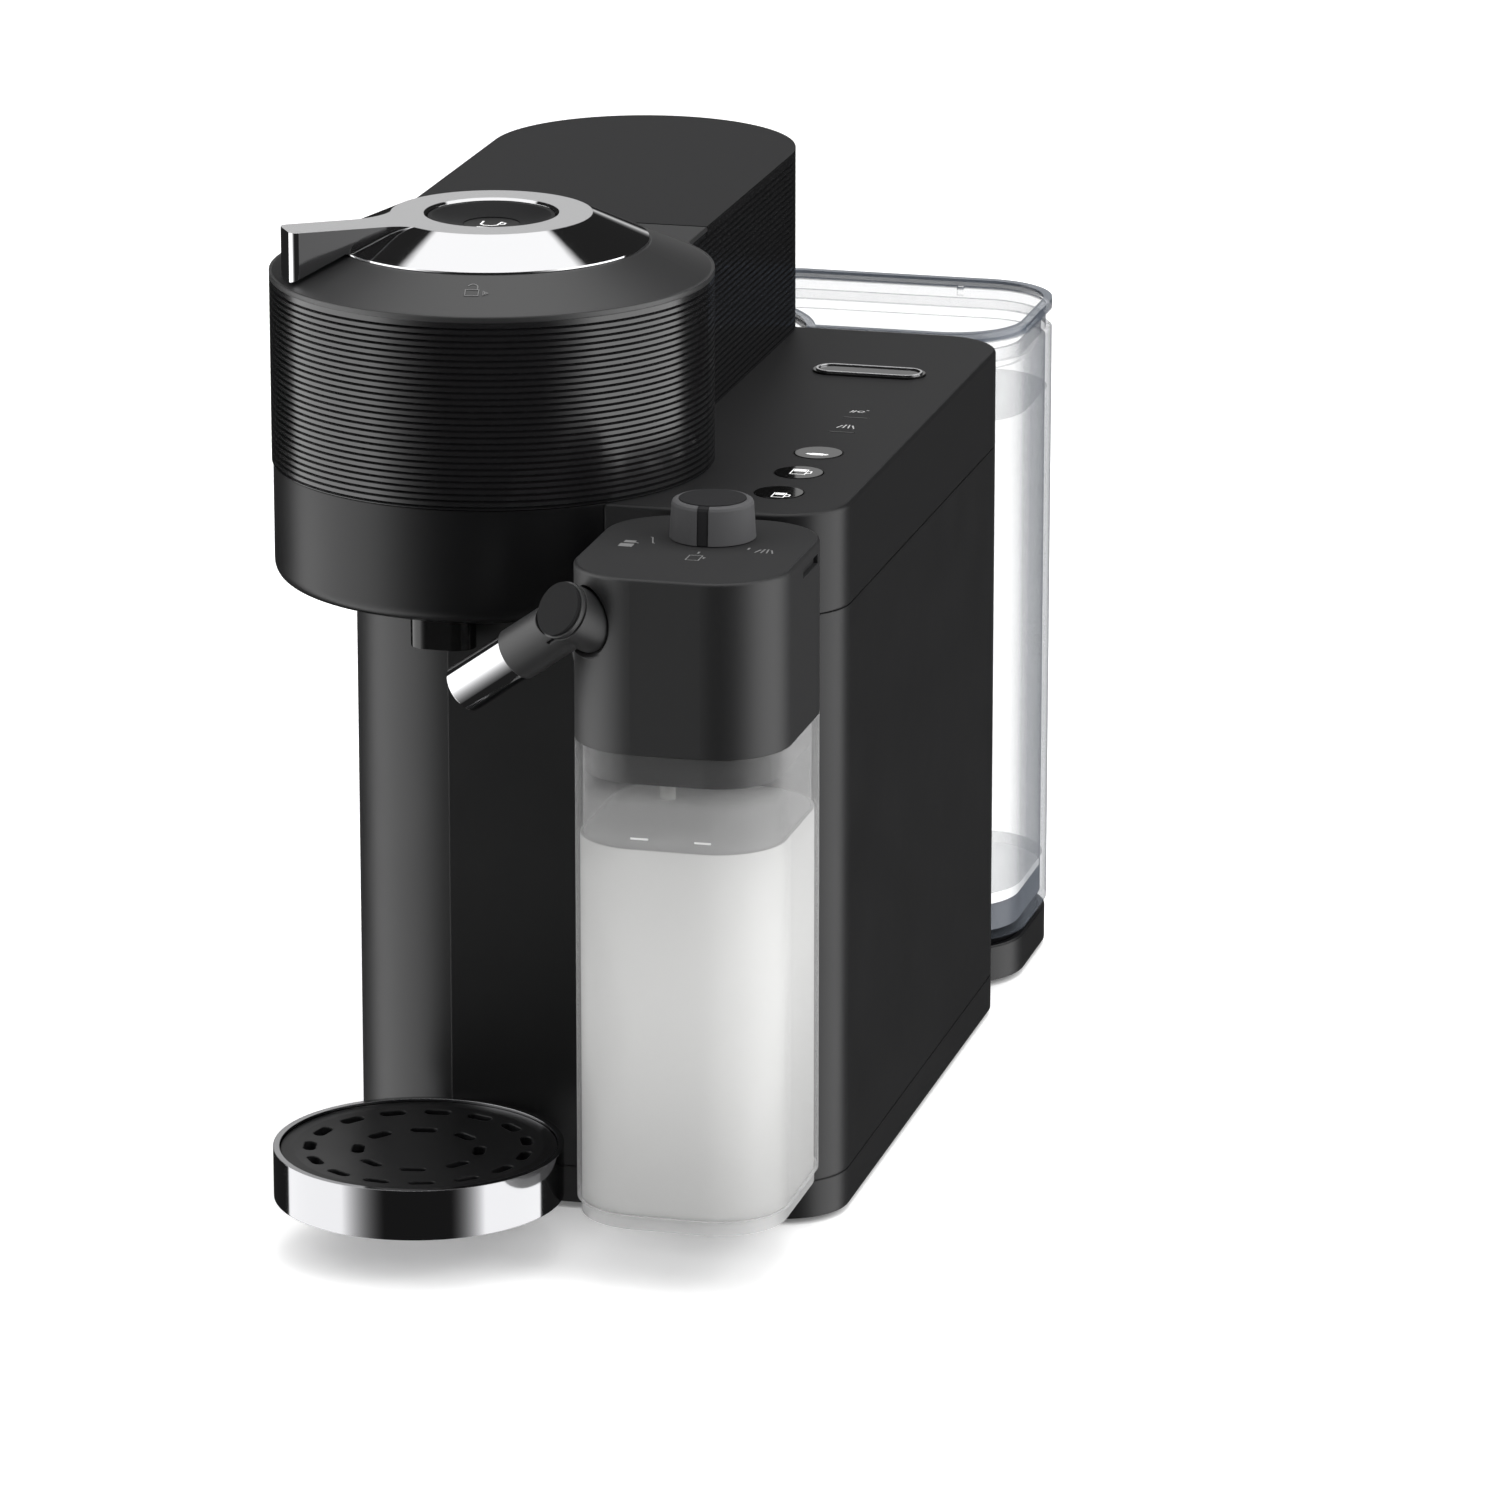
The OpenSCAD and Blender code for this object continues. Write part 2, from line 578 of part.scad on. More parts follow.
module head_cap() color(shell_black) frame() difference() {
  union() {
    difference() {
      union() {
        translate([0, 0, rim_z]) linear_extrude(cap_edge) {
          circle(r = drum_r, $fn = 180);
          translate([-cover_r, 0]) square([2 * cover_r, hinge_y - 0.5]);
          fillets2d();
        }
        translate([0, 0, top_z]) cylinder(r1 = drum_r - 0.8, r2 = cone_r, h = cone_z - top_z, $fn = 180);
      }
      translate([0, 0, rim_z - 0.1]) cylinder(r1 = 69.5, r2 = 51, h = cone_z - wall - rim_z, $fn = 120);
    }
    translate([0, 0, boss_z]) cylinder(r = hub_r + 5, h = cone_z - 1.5 - boss_z);
    knuckle(-cover_r, cover_r) translate([-3, 0]) square([3, cap_edge]);
  }
  // the fixed knuckle and its pin
  hinge_rod(cap_edge + 0.3, -15.4, 15.4);
  translate([-15.4, hinge_y, rim_z - 8]) cube([30.8, 12, 20]);
  hinge_rod(pin_r + play, 0.5 - hinge_x, hinge_x - 0.5);
  for (s = [0, 1]) mirror([s, 0, 0]) translate([hinge_x, hinge_y - 10, rim_z - 20]) cube([20, 20, 20]);
  // seat of the lever ring and guide of the button
  translate([0, 0, seat_z]) cylinder(r = hub_r + play, h = 10);
  translate([0, 0, boss_z - 6]) cylinder(r = stem_r + play, h = 20);
}

module head_skirt() color(shell_black) frame()
  rotate([0, 0, 180.2]) rotate_extrude(angle = 179.6, $fn = 180) translate([drum_r, 0]) rib_section(0.4);

module brew_plate() color([0.25, 0.25, 0.26]) frame() difference() {
  union() {
    translate([0, 0, plate_z + 10]) cylinder(r = hub_r + 3, h = boss_z - plate_z - 10);
    translate([0, 0, plate_z]) cylinder(r = 46, h = 10);
    translate([0, 0, plate_z - 20]) cylinder(r = 35, h = 20);
  }
  translate([0, 0, plate_z - 26]) cylinder(r = 2, h = 30, $fn = 48);
  translate([0, 0, plate_z + 12]) cylinder(r = 12, h = 10);
}

module piercing_pin() color(steel) frame() {
  translate([0, 0, plate_z - 30]) cylinder(r = 2, h = 30, $fn = 48);
  translate([0, 0, plate_z - 36]) cylinder(r1 = 0.4, r2 = 2, h = 6, $fn = 48);
}

module head_seal() color(rubber) frame() translate([0, 0, plate_z - 23]) difference() {
  cylinder(r = 33, h = 3);
  translate([0, 0, -1]) cylinder(r = 29, h = 5);
}

// Flare where an edge of the lever at height y runs into the ring, on side s, with radius r
module flare2d(y, s, r) {
  yc = y + s * r;
  xc = sqrt(pow(ring_flat_r - 0.6 + r, 2) - pow(yc, 2));
  difference() {
    polygon(s > 0 ? [[24, y - 2], [xc, y - 2], [xc, yc], [0.55 * xc, 0.55 * yc]]
                  : [[0.55 * xc, 0.55 * yc], [xc, yc], [xc, y + 2], [26, y + 2]]);
    translate([xc, yc]) circle(r = r);
  }
}

// Lever ring: turns on the cap
module lever_ring() color(chrome) frame() {
  y0 = lever_off - lever_w / 2;
  y1 = lever_off + lever_w / 2;
  rotate_extrude($fn = 180) polygon([
    [well_r, seat_z + 0.2], [hub_r, seat_z + 0.2], [hub_r, cone_z + 0.2], [ring_foot_r, cone_z + 0.2], [ring_foot_r, cone_z + 0.8],
    [ring_flat_r, ring_z], [well_r + 1, ring_z], [well_r, ring_z - 0.8]]);
  rotate([0, 0, lever_angle]) {
    intersection() {
      translate([0, 0, cone_z - 9]) linear_extrude(ring_z - cone_z + 9) {
        translate([30, y0]) square([lever_reach - lever_tip_r - 30, lever_w]);
        translate([30, y0 + lever_tip_r]) square([lever_reach - 30, lever_w - 2 * lever_tip_r]);
        for (y = [y0 + lever_tip_r, y1 - lever_tip_r]) translate([lever_reach - lever_tip_r, y]) circle(r = lever_tip_r, $fn = 48);
      }
      translate([0, 30, 0]) rotate([90, 0, 0]) linear_extrude(60) polygon([
        [28, ring_z + 1], [80, ring_z + 1], [80, cone_z - 11.2], [ring_foot_r + 1, cone_z + 1], [28, cone_z + 1]]);
    }
    translate([0, 0, ring_z - 2.4]) linear_extrude(2.4) {
      flare2d(y0, -1, 20);
      flare2d(y1, 1, 12);
    }
  }
}

module brew_button() color(gloss_black) frame() difference() {
  union() {
    translate([0, 0, ring_z - 7.3]) cylinder(r = well_r - 0.3, h = 6.3);
    translate([0, 0, boss_z + 3]) cylinder(r = stem_r, h = ring_z - 7 - boss_z - 3);
  }
  translate([0, 0, ring_z - 4.4 + 60]) sphere(r = 60, $fn = 180);
  translate([0, 0, ring_z - 5.4]) cylinder(r = lens_r + 0.05, h = 6);
}

module button_lens() color([0.02, 0.02, 0.02]) frame() translate([0, 0, ring_z - 5.4]) cylinder(r = lens_r, h = 1.5);

// ---------------------------------------------------------------- controls and spinner

module cup_button(i) color(gloss_black) frame() translate([button_x, button_ys[i], 0]) {
  translate([0, 0, deck_z - 3]) cylinder(r = button_r, h = 3.2);
  translate([0, 0, deck_z - wall - 2]) cylinder(r = button_r + 1.5, h = 1.8);
  translate([0, 0, deck_z - 7.1]) cylinder(r = 2.5, h = 4);
}

module cup_button_small() cup_button(0);

module cup_button_medium() cup_button(1);

module cup_button_large() cup_button(2);

module capsule_cup() color(steel) frame() {
  rotate_extrude() polygon([
    [0, cup_z], [12, cup_z], [27, cup_z + 18], [33, cup_z + 36], [33, cup_z + 48.5], [29.5, cup_z + 48.5],
    [29.5, cup_z + 38], [24.5, cup_z + 21], [10, cup_z + 4], [0, cup_z + 4]]);
  translate([0, 0, cup_z - 26]) cylinder(r = 3, h = 27, $fn = 48);
}

// ---------------------------------------------------------------- cup stand

module stand_ring() color(chrome) frame() translate([stand_x, -stand_y, 0]) difference() {
  union() {
    translate([0, 0, stand_z0]) cylinder(r = stand_r, h = stand_z1 - stand_z0, $fn = 144);
    translate([3 - stand_x, 36, stand_z0 + 4]) cube([14, 36, 8]);
  }
  translate([0, 0, stand_z0 + 2]) cylinder(r = stand_r - 2.1, h = 30, $fn = 144);
}

module drip_tray() color(shell_black) frame() translate([stand_x, -stand_y, 0]) difference() {
  translate([0, 0, stand_z0 + 2]) cylinder(r = stand_r - 2.3, h = 10);
  translate([0, 0, stand_z0 + 4]) cylinder(r = stand_r - 4, h = 10);
}

module drip_grid() color(shell_black) frame() translate([stand_x, -stand_y, 0]) difference() {
  translate([0, 0, stand_z0 + 12]) cylinder(r = stand_r - 2.4, h = 4);
  translate([0, 0, stand_z0 + 14.3 + 500]) sphere(r = 500, $fn = 200);
  for (a = [0:24:359]) rotate([0, 0, a]) translate([36, 0, stand_z0 + 8]) linear_extrude(12) rotate([0, 0, 90]) pill(9, 4);
  for (a = [0:45:359]) rotate([0, 0, a + 11]) translate([20, 0, stand_z0 + 8]) linear_extrude(12) rotate([0, 0, 90]) pill(9, 4);
}

// ---------------------------------------------------------------- used-capsule bin

module bin2d(d) intersection() {
  translate([bin_x0 + d, bin_y0 + d]) square([bin_x1 - bin_x0 - 2 * d, cover_len + column_r - bin_y0]);
  union() {
    translate([-60, bin_y0 - 25]) square([120, cover_len - bin_y0 + 25]);
    translate([0, cover_len]) circle(r = column_r - d);
  }
}

module capsule_bin() color(shell_black) frame() difference() {
  translate([0, 0, bin_z0]) linear_extrude(bin_z1 - bin_z0) bin2d(0);
  translate([0, 0, bin_z0 + 2]) linear_extrude(bin_z1) bin2d(2);
  // finger hollow
  translate([-11, cover_len + column_r + 3, bin_z1 - 24]) rotate([90, 0, 0]) cylinder(r = 9, h = 12);
}

// ---------------------------------------------------------------- water tank

module tank_body() color(clear_wall) frame() {
  difference() {
    translate([0, 0, pedestal_z + 1]) linear_extrude(tank_rim_z - pedestal_z - 1) tank2d(0);
    translate([0, 0, pedestal_z + 3.5]) linear_extrude(tank_z) tank2d(2.4);
    translate([90, 250, pedestal_z - 1]) cylinder(r = 5.2, h = 10);
  }
  translate([0, 0, tank_rim_z - 3]) linear_extrude(7) difference() {
    tank2d(2.3);
    tank2d(4);
  }
}

module tank_valve() color([0.25, 0.26, 0.28]) frame() translate([90, 250, pedestal_z + 3.5]) difference() {
  union() {
    cylinder(r = 8.5, h = 9);
    translate([0, 0, 8]) cylinder(r = 11, h = 6);
  }
  translate([0, 0, -1]) cylinder(r = 5.2, h = 9);
}

module tank_foot() color([0.3, 0.31, 0.33]) frame() difference() {
  translate([0, 0, pedestal_z + 3.5]) linear_extrude(10) tank2d(2.6);
  translate([90, 250, pedestal_z]) cylinder(r = 14, h = 30);
}

module tank_lid() color(clear_wall) frame() {
  difference() {
    translate([0, 0, tank_rim_z]) linear_extrude(tank_z - tank_rim_z) tank2d(0);
    translate([0, 0, tank_rim_z - 1]) linear_extrude(tank_z - tank_rim_z - tank_sink - 0.6) tank2d(2.2);
    translate([0, 0, tank_z - tank_sink]) linear_extrude(2) tank2d(tank_lip);
  }
  // locating tab at the back
  translate([tank_x1 - 40, tank_y1 - 4.5, tank_z - tank_sink - 5]) cube([2.4, 3, 4]);
}

// ---------------------------------------------------------------- milk carafe

module carafe_lid() color(shell_black) frame() difference() {
  union() {
    difference() {
      soft_box(milk_x0, -milk_y0, milk_x1, -milk_y1, milk_r, milk_lid_z, milk_z1, lid_edge);
      translate([0, 0, milk_lid_z - 1]) linear_extrude(milk_z1 - milk_lid_z - 2) milk2d(wall);
    }
    // steam port
    translate([port_x, -milk_y1 - 1, port_z]) rotate([90, 0, 0]) cylinder(r = 7.5, h = 30);
    for (s = [-1, 1]) translate([port_x + s * 17, -milk_y1 - 1, port_z]) rotate([90, 0, 0]) cylinder(r = 5, h = 16);
    // bell mouth round the spout's pivot
    spout_frame() rotate_extrude() difference() {
      translate([0, -18]) square([16, 13.7]);
      translate([17, -4.3]) circle(r = 6, $fn = 48);
    }
  }
  translate([port_x, -milk_y1 + 1, port_z]) rotate([90, 0, 0]) cylinder(r = 4.55, h = 28, $fn = 48);
  for (s = [-1, 1]) translate([port_x + s * 17, -milk_y1 + 1, port_z]) rotate([90, 0, 0]) cylinder(r = 3.2, h = 15);
  spout_frame() {
    translate([0, 0, -4.3]) cylinder(r = barrel_r + 0.9, h = 40);
    translate([0, 0, -5]) difference() {
      cylinder(r = 9.6, h = 3);
      translate([0, 0, -1]) cylinder(r = 8.6, h = 5);
    }
    translate([0, 0, -30]) cylinder(r = 4, h = 40);
  }
  // slot in the right side
  translate([milk_x1 - 1.6, -knob_y - 18, milk_z1 - 7]) cube([4, 20, 3.2]);
  // seat of the knob's shaft
  translate([knob_x, -knob_y, milk_z1 - 6]) cylinder(r = 4.05, h = 10, $fn = 48);
}

module spout_pivot() color(soft_grey) frame() spout_frame() difference() {
  union() {
    translate([0, 0, -12]) cylinder(r = 3.95, h = 8);
    translate([0, 0, -4.3]) cylinder(r = 5.5, h = 6);
  }
  translate([0, 0, -13]) cylinder(r = 2.4, h = 20);
}

module lid_plug() color([0.16, 0.16, 0.17]) frame() {
  translate([0, 0, plug_z]) linear_extrude(milk_lid_z - plug_z) difference() {
    milk2d(3);
    milk2d(6);
  }
  translate([0, 0, plug_z]) linear_extrude(2.5) milk2d(3);
  translate([0, 0, milk_lid_z]) linear_extrude(2) difference() {
    milk2d(wall + 0.1);
    milk2d(8);
  }
}

module suction_tube() color(soft_grey) frame() translate([80, -76, 36]) difference() {
  cylinder(r = 2.6, h = plug_z - 36);
  translate([0, 0, -1]) cylinder(r = 1.6, h = plug_z);
}

module milk_container() color([0.9, 0.93, 0.95, 0.5]) frame() difference() {
  union() {
    translate([0, 0, milk_foot_z]) linear_extrude(milk_lid_z - milk_foot_z) milk2d(0);
    translate([0, 0, milk_z0]) linear_extrude(milk_foot_z - milk_z0 + 1) milk2d(1.4);
  }
  translate([0, 0, milk_z0 + 3]) linear_extrude(200) milk2d(2.6);
}

// Half section of the knob, inset by d
module knob2d(d) polygon([[0, 0], [knob_r - d, 0], [knob_r - d - 0.7, knob_h - knob_edge], [knob_r - d - 1.1, knob_h - knob_edge * 0.35],
  [knob_r - d - 0.7 - knob_edge, knob_h], [0, knob_h]]);

module froth_knob() color(soft_grey) frame() translate([knob_x, -knob_y, milk_z1 + 0.3]) difference() {
  rotate_extrude() knob2d(0);
  translate([0, 0, knob_h - 1.6]) cylinder(r = 11, h = 4);
  translate([-1.9, -20, -1]) cube([3.8, 10, 30]);
}

module knob_insert() color([0.2, 0.2, 0.21]) frame() translate([knob_x, -knob_y, milk_z1 + 0.3]) {
  translate([0, 0, knob_h - 1.6]) cylinder(r = 10.9, h = 1.9);
  intersection() {
    translate([-1.8, -knob_r, 0]) cube([3.6, knob_r - 10, knob_h]);
    rotate_extrude() knob2d(0.3);
  }
}

module knob_shaft() color(steel) frame() translate([knob_x, -knob_y, 0])
  translate([0, 0, milk_z1 - 14]) cylinder(r = 4, h = 14.3, $fn = 48);

// ---------------------------------------------------------------- milk spout

module spout_elbow() color(shell_black) frame() difference() {
  union() {
    spout_frame() translate([0, 0, -3.9]) cylinder(r = barrel_r, h = 15.9);
    spout_axis() cylinder(r = sleeve_r, h = sleeve_l);
  }
  spout_axis() translate([0, 0, 16]) cylinder(r = tube_r, h = 30);
  spout_axis() cylinder(r = 6, h = 30);
  spout_frame() translate([0, 0, -5]) cylinder(r = 5.55, h = 9);
  spout_frame() translate([0, 0, 12]) cylinder(r = barrel_r + 0.1, h = 6);
  spout_frame() translate([0, 0, 9.6]) difference() {
    cylinder(r = barrel_r + 2, h = 0.8);
    translate([0, 0, -1]) cylinder(r = barrel_r - 0.6, h = 4);
  }
}

module spout_cap() color(shell_black) frame() spout_frame() translate([0, 0, 12]) cylinder(r = barrel_r - 0.5, h = 1.3);

module spout_tube() color(chrome) frame() spout_axis() difference() {
  translate([0, 0, 16]) cylinder(r = tube_r, h = tube_l - 16);
  translate([0, 0, 15]) cylinder(r = tube_r - 1, h = tube_l);
}

rubber_feet();
base_tray();
tank_pedestal();
side_casing();
column_shell();
deck_cover();
head_base();
rear_cover();
hinge_pin();
coffee_nozzle();
badge_plate();
badge_rim();
indicator_bars();
switch_board();
spinner_motor();
thermoblock();
pump();
control_board();
coffee_hose();
water_hose();
steam_valve();
steam_nozzle();
carafe_dock();
tank_spigot();
bin_liner();
cord_gland();
head_cap();
head_skirt();
brew_plate();
piercing_pin();
head_seal();
lever_ring();
brew_button();
button_lens();
cup_button_small();
cup_button_medium();
cup_button_large();
capsule_cup();
stand_ring();
drip_tray();
drip_grid();
capsule_bin();
tank_body();
tank_valve();
tank_foot();
tank_lid();
carafe_lid();
spout_pivot();
lid_plug();
suction_tube();
milk_container();
froth_knob();
knob_insert();
knob_shaft();
spout_elbow();
spout_cap();
spout_tube();
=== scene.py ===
"""Looks, light, floor and camera for the capsule coffee machine."""
import math

import bmesh
import bpy
from mathutils import Matrix, Vector


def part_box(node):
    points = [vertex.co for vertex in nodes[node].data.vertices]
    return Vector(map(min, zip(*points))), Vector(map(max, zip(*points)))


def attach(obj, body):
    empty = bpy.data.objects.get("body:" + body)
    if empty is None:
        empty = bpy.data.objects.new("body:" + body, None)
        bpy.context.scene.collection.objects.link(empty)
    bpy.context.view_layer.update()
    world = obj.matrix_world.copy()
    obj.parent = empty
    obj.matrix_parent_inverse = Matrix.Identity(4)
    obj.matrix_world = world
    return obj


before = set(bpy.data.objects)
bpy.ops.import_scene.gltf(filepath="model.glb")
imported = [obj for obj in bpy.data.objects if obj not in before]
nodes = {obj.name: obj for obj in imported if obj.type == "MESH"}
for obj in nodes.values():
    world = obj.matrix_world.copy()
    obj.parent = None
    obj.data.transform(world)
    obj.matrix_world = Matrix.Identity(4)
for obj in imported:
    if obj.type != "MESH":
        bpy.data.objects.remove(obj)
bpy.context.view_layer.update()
MM = 0.001

# Camera: place in millimetres from the drum's axis and the floor, tilt and turn in degrees
CAMERA_AT = (750.5, -2614.8, 934.2)
CAMERA_TILT = 73.76
CAMERA_TURN = 14.21
CAMERA_LENS = 201.4
SENSOR_WIDTH = 36.0

# Soft lamps: name, place and size in metres, power in watts; all of them face one spot on the machine
LAMPS = [
    ("key", (-1.6, -1.4, 1.6), (1.2, 1.4), 6),
    ("fill", (1.9, -1.0, 1.2), (1.0, 1.4), 28),
    ("top", (0.1, 0.5, 2.0), (1.6, 1.4), 25),
]
LAMPS_FACE = (0, 0, 0.2)

# Studio: the light from all round, and the least that shiny faces mirror
SOFT_LIGHT = 0.42
MIRRORED_DARK = 0.02
# Panels that shiny faces mirror: azimuths from the camera's direction, right is positive, and the fades
# outside them; elevations; brightness
PANELS = [
    ((-123, -62), (3, 46), (-60, 45), 2.15),
    ((56, 114), (36, 3), (-60, 45), 2.2),
    ((-180, 180), (1, 1), (50, 91), 1.35),
    ((-180, -173), (1, 4), (4, 26), 0.65),
    ((173, 180), (4, 1), (4, 26), 0.65),
]
# How panels fade: over how many degrees at the top and bottom, and how steeply at the sides
PANEL_FADE = 3
PANEL_STEEPNESS = 3.0

# Floor, in metres: its radius, and how far it lies under the feet
FLOOR_RADIUS = 6.0
FLOOR_DROP = 0.0002
# The floor's glow to the eye, close to the machine and in the open: how far in metres the floor looks
# about for something that shades it, and how open it is there in both cases
FLOOR_GLOW = (0.1, 0.62)
FLOOR_REACH = 0.04
FLOOR_OPENNESS = (0.1, 0.65)

# Fills: how far inside the wall's outer face they stay, how far above the container's foot and the
# tank's valve they begin, and their levels
WALL_GAP = 1.6
MILK_FLOOR = 3.1
VALVE_GAP = 0.3
MILK_LEVEL = 153.0
WATER_LEVEL = 211.0

# Haze in the container's wall: mist above the milk and a frosted foot, each with the two heights between
# which it sets in, and its veil there
JUG_HAZES = [(177, 168, 0.0, 0.2), (29.6, 29.2, 0.0, 0.7)]

# Corners of the container and of the tank, the ribbed cover's round end and the tank's hollow round it
JUG_CORNER = 24.0
TANK_CORNER = 28.0
TANK_SMALL_CORNER = 5.0
COVER_LENGTH = 195.0
TANK_HOLLOW = 58.0

# Print: widths of the strokes, how far it stands off its face, and how closely filled areas are hatched
STROKE = 0.45
ICON_STROKE = 0.6
BREW_STROKE = 0.75
DASH_STROKE = 0.7
LIFT = 0.03
HATCH = 0.8
# The level mark's place on the container's front, sideways and up
LEVEL_MARK = (96.8, 157.3)

# The cap's cone: its slope, the radius of its flat, and the padlock's place on it
CONE_SLOPE = 23.6
CONE_FLAT = 52.9
PADLOCK_TURN = 9.8
PADLOCK_OUT = 63.0


# ---------------------------------------------------------------- where things are

def drum_axis():
    """Foot of the drum's axis, on which the capsule cup turns."""
    lo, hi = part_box("capsule_cup")
    middle = (lo + hi) / 2
    return Vector((middle.x, middle.y, 0))


drum = drum_axis()


def at(x, y, z):
    """A point given in millimetres from the drum's axis and the floor."""
    return Vector((drum.x + x * MM, drum.y + y * MM, z * MM))


def top_of(node):
    """Height of a node's top, in millimetres."""
    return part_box(node)[1].z / MM


def placed(name, data):
    """A new object in the scene."""
    ob = bpy.data.objects.new(name, data)
    bpy.context.scene.collection.objects.link(ob)
    return ob


# ---------------------------------------------------------------- node helpers

def new_tree(owner):
    """The emptied node tree of a material or of the world."""
    owner.use_nodes = True
    owner.node_tree.nodes.clear()
    return owner.node_tree


def add(nt, kind, **settings):
    """A new node; a setting goes to the input of that name, or else to the node itself."""
    node = nt.nodes.new(kind)
    for key, value in settings.items():
        if key in node.inputs:
            node.inputs[key].default_value = value
        else:
            setattr(node, key, value)
    return node


def feed(nt, value, socket):
    """Give a socket a plain number, or the output of another node."""
    if isinstance(value, (int, float)):
        socket.default_value = value
    else:
        nt.links.new(value, socket)


def maths(nt, operation, a, b=None):
    """A maths node; a and b are sockets or plain numbers."""
    node = add(nt, "ShaderNodeMath", operation=operation)
    feed(nt, a, node.inputs[0])
    if b is not None:
        feed(nt, b, node.inputs[1])
    return node.outputs[0]


def ramp(nt, value, start, end, low=0.0, high=1.0):
    """Straight ramp from low at start to high at end, held level outside."""
    node = add(nt, "ShaderNodeMapRange")
    for socket, number in zip(node.inputs, (value, start, end, low, high)):
        feed(nt, number, socket)
    return node.outputs[0]


def blend(nt, share, a, b):
    """Number a where share is 0, and b where it is 1."""
    node = add(nt, "ShaderNodeMix", data_type="FLOAT")
    feed(nt, share, node.inputs[0])
    feed(nt, a, node.inputs[2])
    feed(nt, b, node.inputs[3])
    return node.outputs[0]


def axes(nt, vector):
    """The three parts of a vector."""
    node = add(nt, "ShaderNodeSeparateXYZ")
    nt.links.new(vector, node.inputs[0])
    return node.outputs


def upward(nt):
    """How far a face looks up: 1 on a level top, 0 on an upright wall, -1 on an underside."""
    geometry = add(nt, "ShaderNodeNewGeometry")
    return axes(nt, geometry.outputs["True Normal"])["Z"]


def facing_up(nt, least=0.5):
    """1 on faces that look up, and 0 on the others."""
    return maths(nt, "GREATER_THAN", upward(nt), least)


def seen_plainly(nt):
    """1 for rays from the camera, straight or through something clear, and the outputs of Light Path."""
    path = add(nt, "ShaderNodeLightPath").outputs
    return maths(nt, "MAXIMUM", path["Is Camera Ray"], path["Is Transmission Ray"]), path


# ---------------------------------------------------------------- camera, light and floor

def make_camera():
    """The camera, in front of the machine, to its right and a little above."""
    cam = bpy.data.cameras.new("camera")
    cam.lens = CAMERA_LENS
    cam.sensor_width = SENSOR_WIDTH
    cam.clip_end = 100.0
    ob = placed("camera", cam)
    ob.location = at(*CAMERA_AT)
    ob.rotation_euler = (math.radians(CAMERA_TILT), 0.0, math.radians(CAMERA_TURN))
    bpy.context.scene.camera = ob


def make_lamps():
    """Soft lamps that light the matt faces; shiny ones mirror the studio's panels instead."""
    for name, place, size, power in LAMPS:
        lamp = bpy.data.lights.new(name, "AREA")
        lamp.shape = "RECTANGLE"
        lamp.size, lamp.size_y = size
        lamp.energy = power
        ob = placed(name, lamp)
        ob.location = place
        ob.rotation_euler = (Vector(LAMPS_FACE) - Vector(place)).to_track_quat("-Z", "Y").to_euler()
        ob.visible_glossy = False


def sky_angles(nt):
    """Azimuth from the camera's direction and elevation of where a ray goes, in degrees."""
    coord = add(nt, "ShaderNodeTexCoord")
    turned = add(nt, "ShaderNodeVectorRotate", rotation_type="Z_AXIS", Angle=math.radians(-CAMERA_TURN))
    nt.links.new(coord.outputs["Object"], turned.inputs["Vector"])
    unit = add(nt, "ShaderNodeVectorMath", operation="NORMALIZE")
    nt.links.new(turned.outputs[0], unit.inputs[0])
    x, y, z = axes(nt, unit.outputs[0])
    azimuth = maths(nt, "ARCTAN2", x, maths(nt, "MULTIPLY", y, -1.0))
    return [maths(nt, "MULTIPLY", angle, 180 / math.pi) for angle in (azimuth, maths(nt, "ARCSINE", z))]


def panel(nt, angles, span, fades, heights, level):
    """Brightness of one panel of the studio, seen at the two angles."""
    azimuth, height = angles
    rise = ramp(nt, azimuth, span[0] - fades[0], span[0])
    fall = ramp(nt, azimuth, span[1], span[1] + fades[1], 1.0, 0.0)
    low = ramp(nt, height, heights[0] - PANEL_FADE, heights[0])
    high = ramp(nt, height, heights[1], heights[1] + PANEL_FADE, 1.0, 0.0)
    across = maths(nt, "POWER", maths(nt, "MULTIPLY", rise, fall), PANEL_STEEPNESS)
    upright = maths(nt, "MULTIPLY", low, high)
    return maths(nt, "MULTIPLY", maths(nt, "MULTIPLY", across, upright), level)


def make_world():
    """White to the eye, soft grey light on the object, and a studio of panels in shiny faces."""
    world = bpy.data.worlds.new("studio")
    bpy.context.scene.world = world
    nt = new_tree(world)
    angles = sky_angles(nt)
    mirrored = MIRRORED_DARK
    for span, fades, heights, level in PANELS:
        mirrored = maths(nt, "MAXIMUM", panel(nt, angles, span, fades, heights, level), mirrored)
    plain, path = seen_plainly(nt)
    lit = blend(nt, path["Is Glossy Ray"], SOFT_LIGHT, mirrored)
    sky = add(nt, "ShaderNodeBackground", Color=(1, 1, 1, 1))
    nt.links.new(blend(nt, plain, lit, 1.0), sky.inputs["Strength"])
    out = add(nt, "ShaderNodeOutputWorld")
    nt.links.new(sky.outputs[0], out.inputs[0])


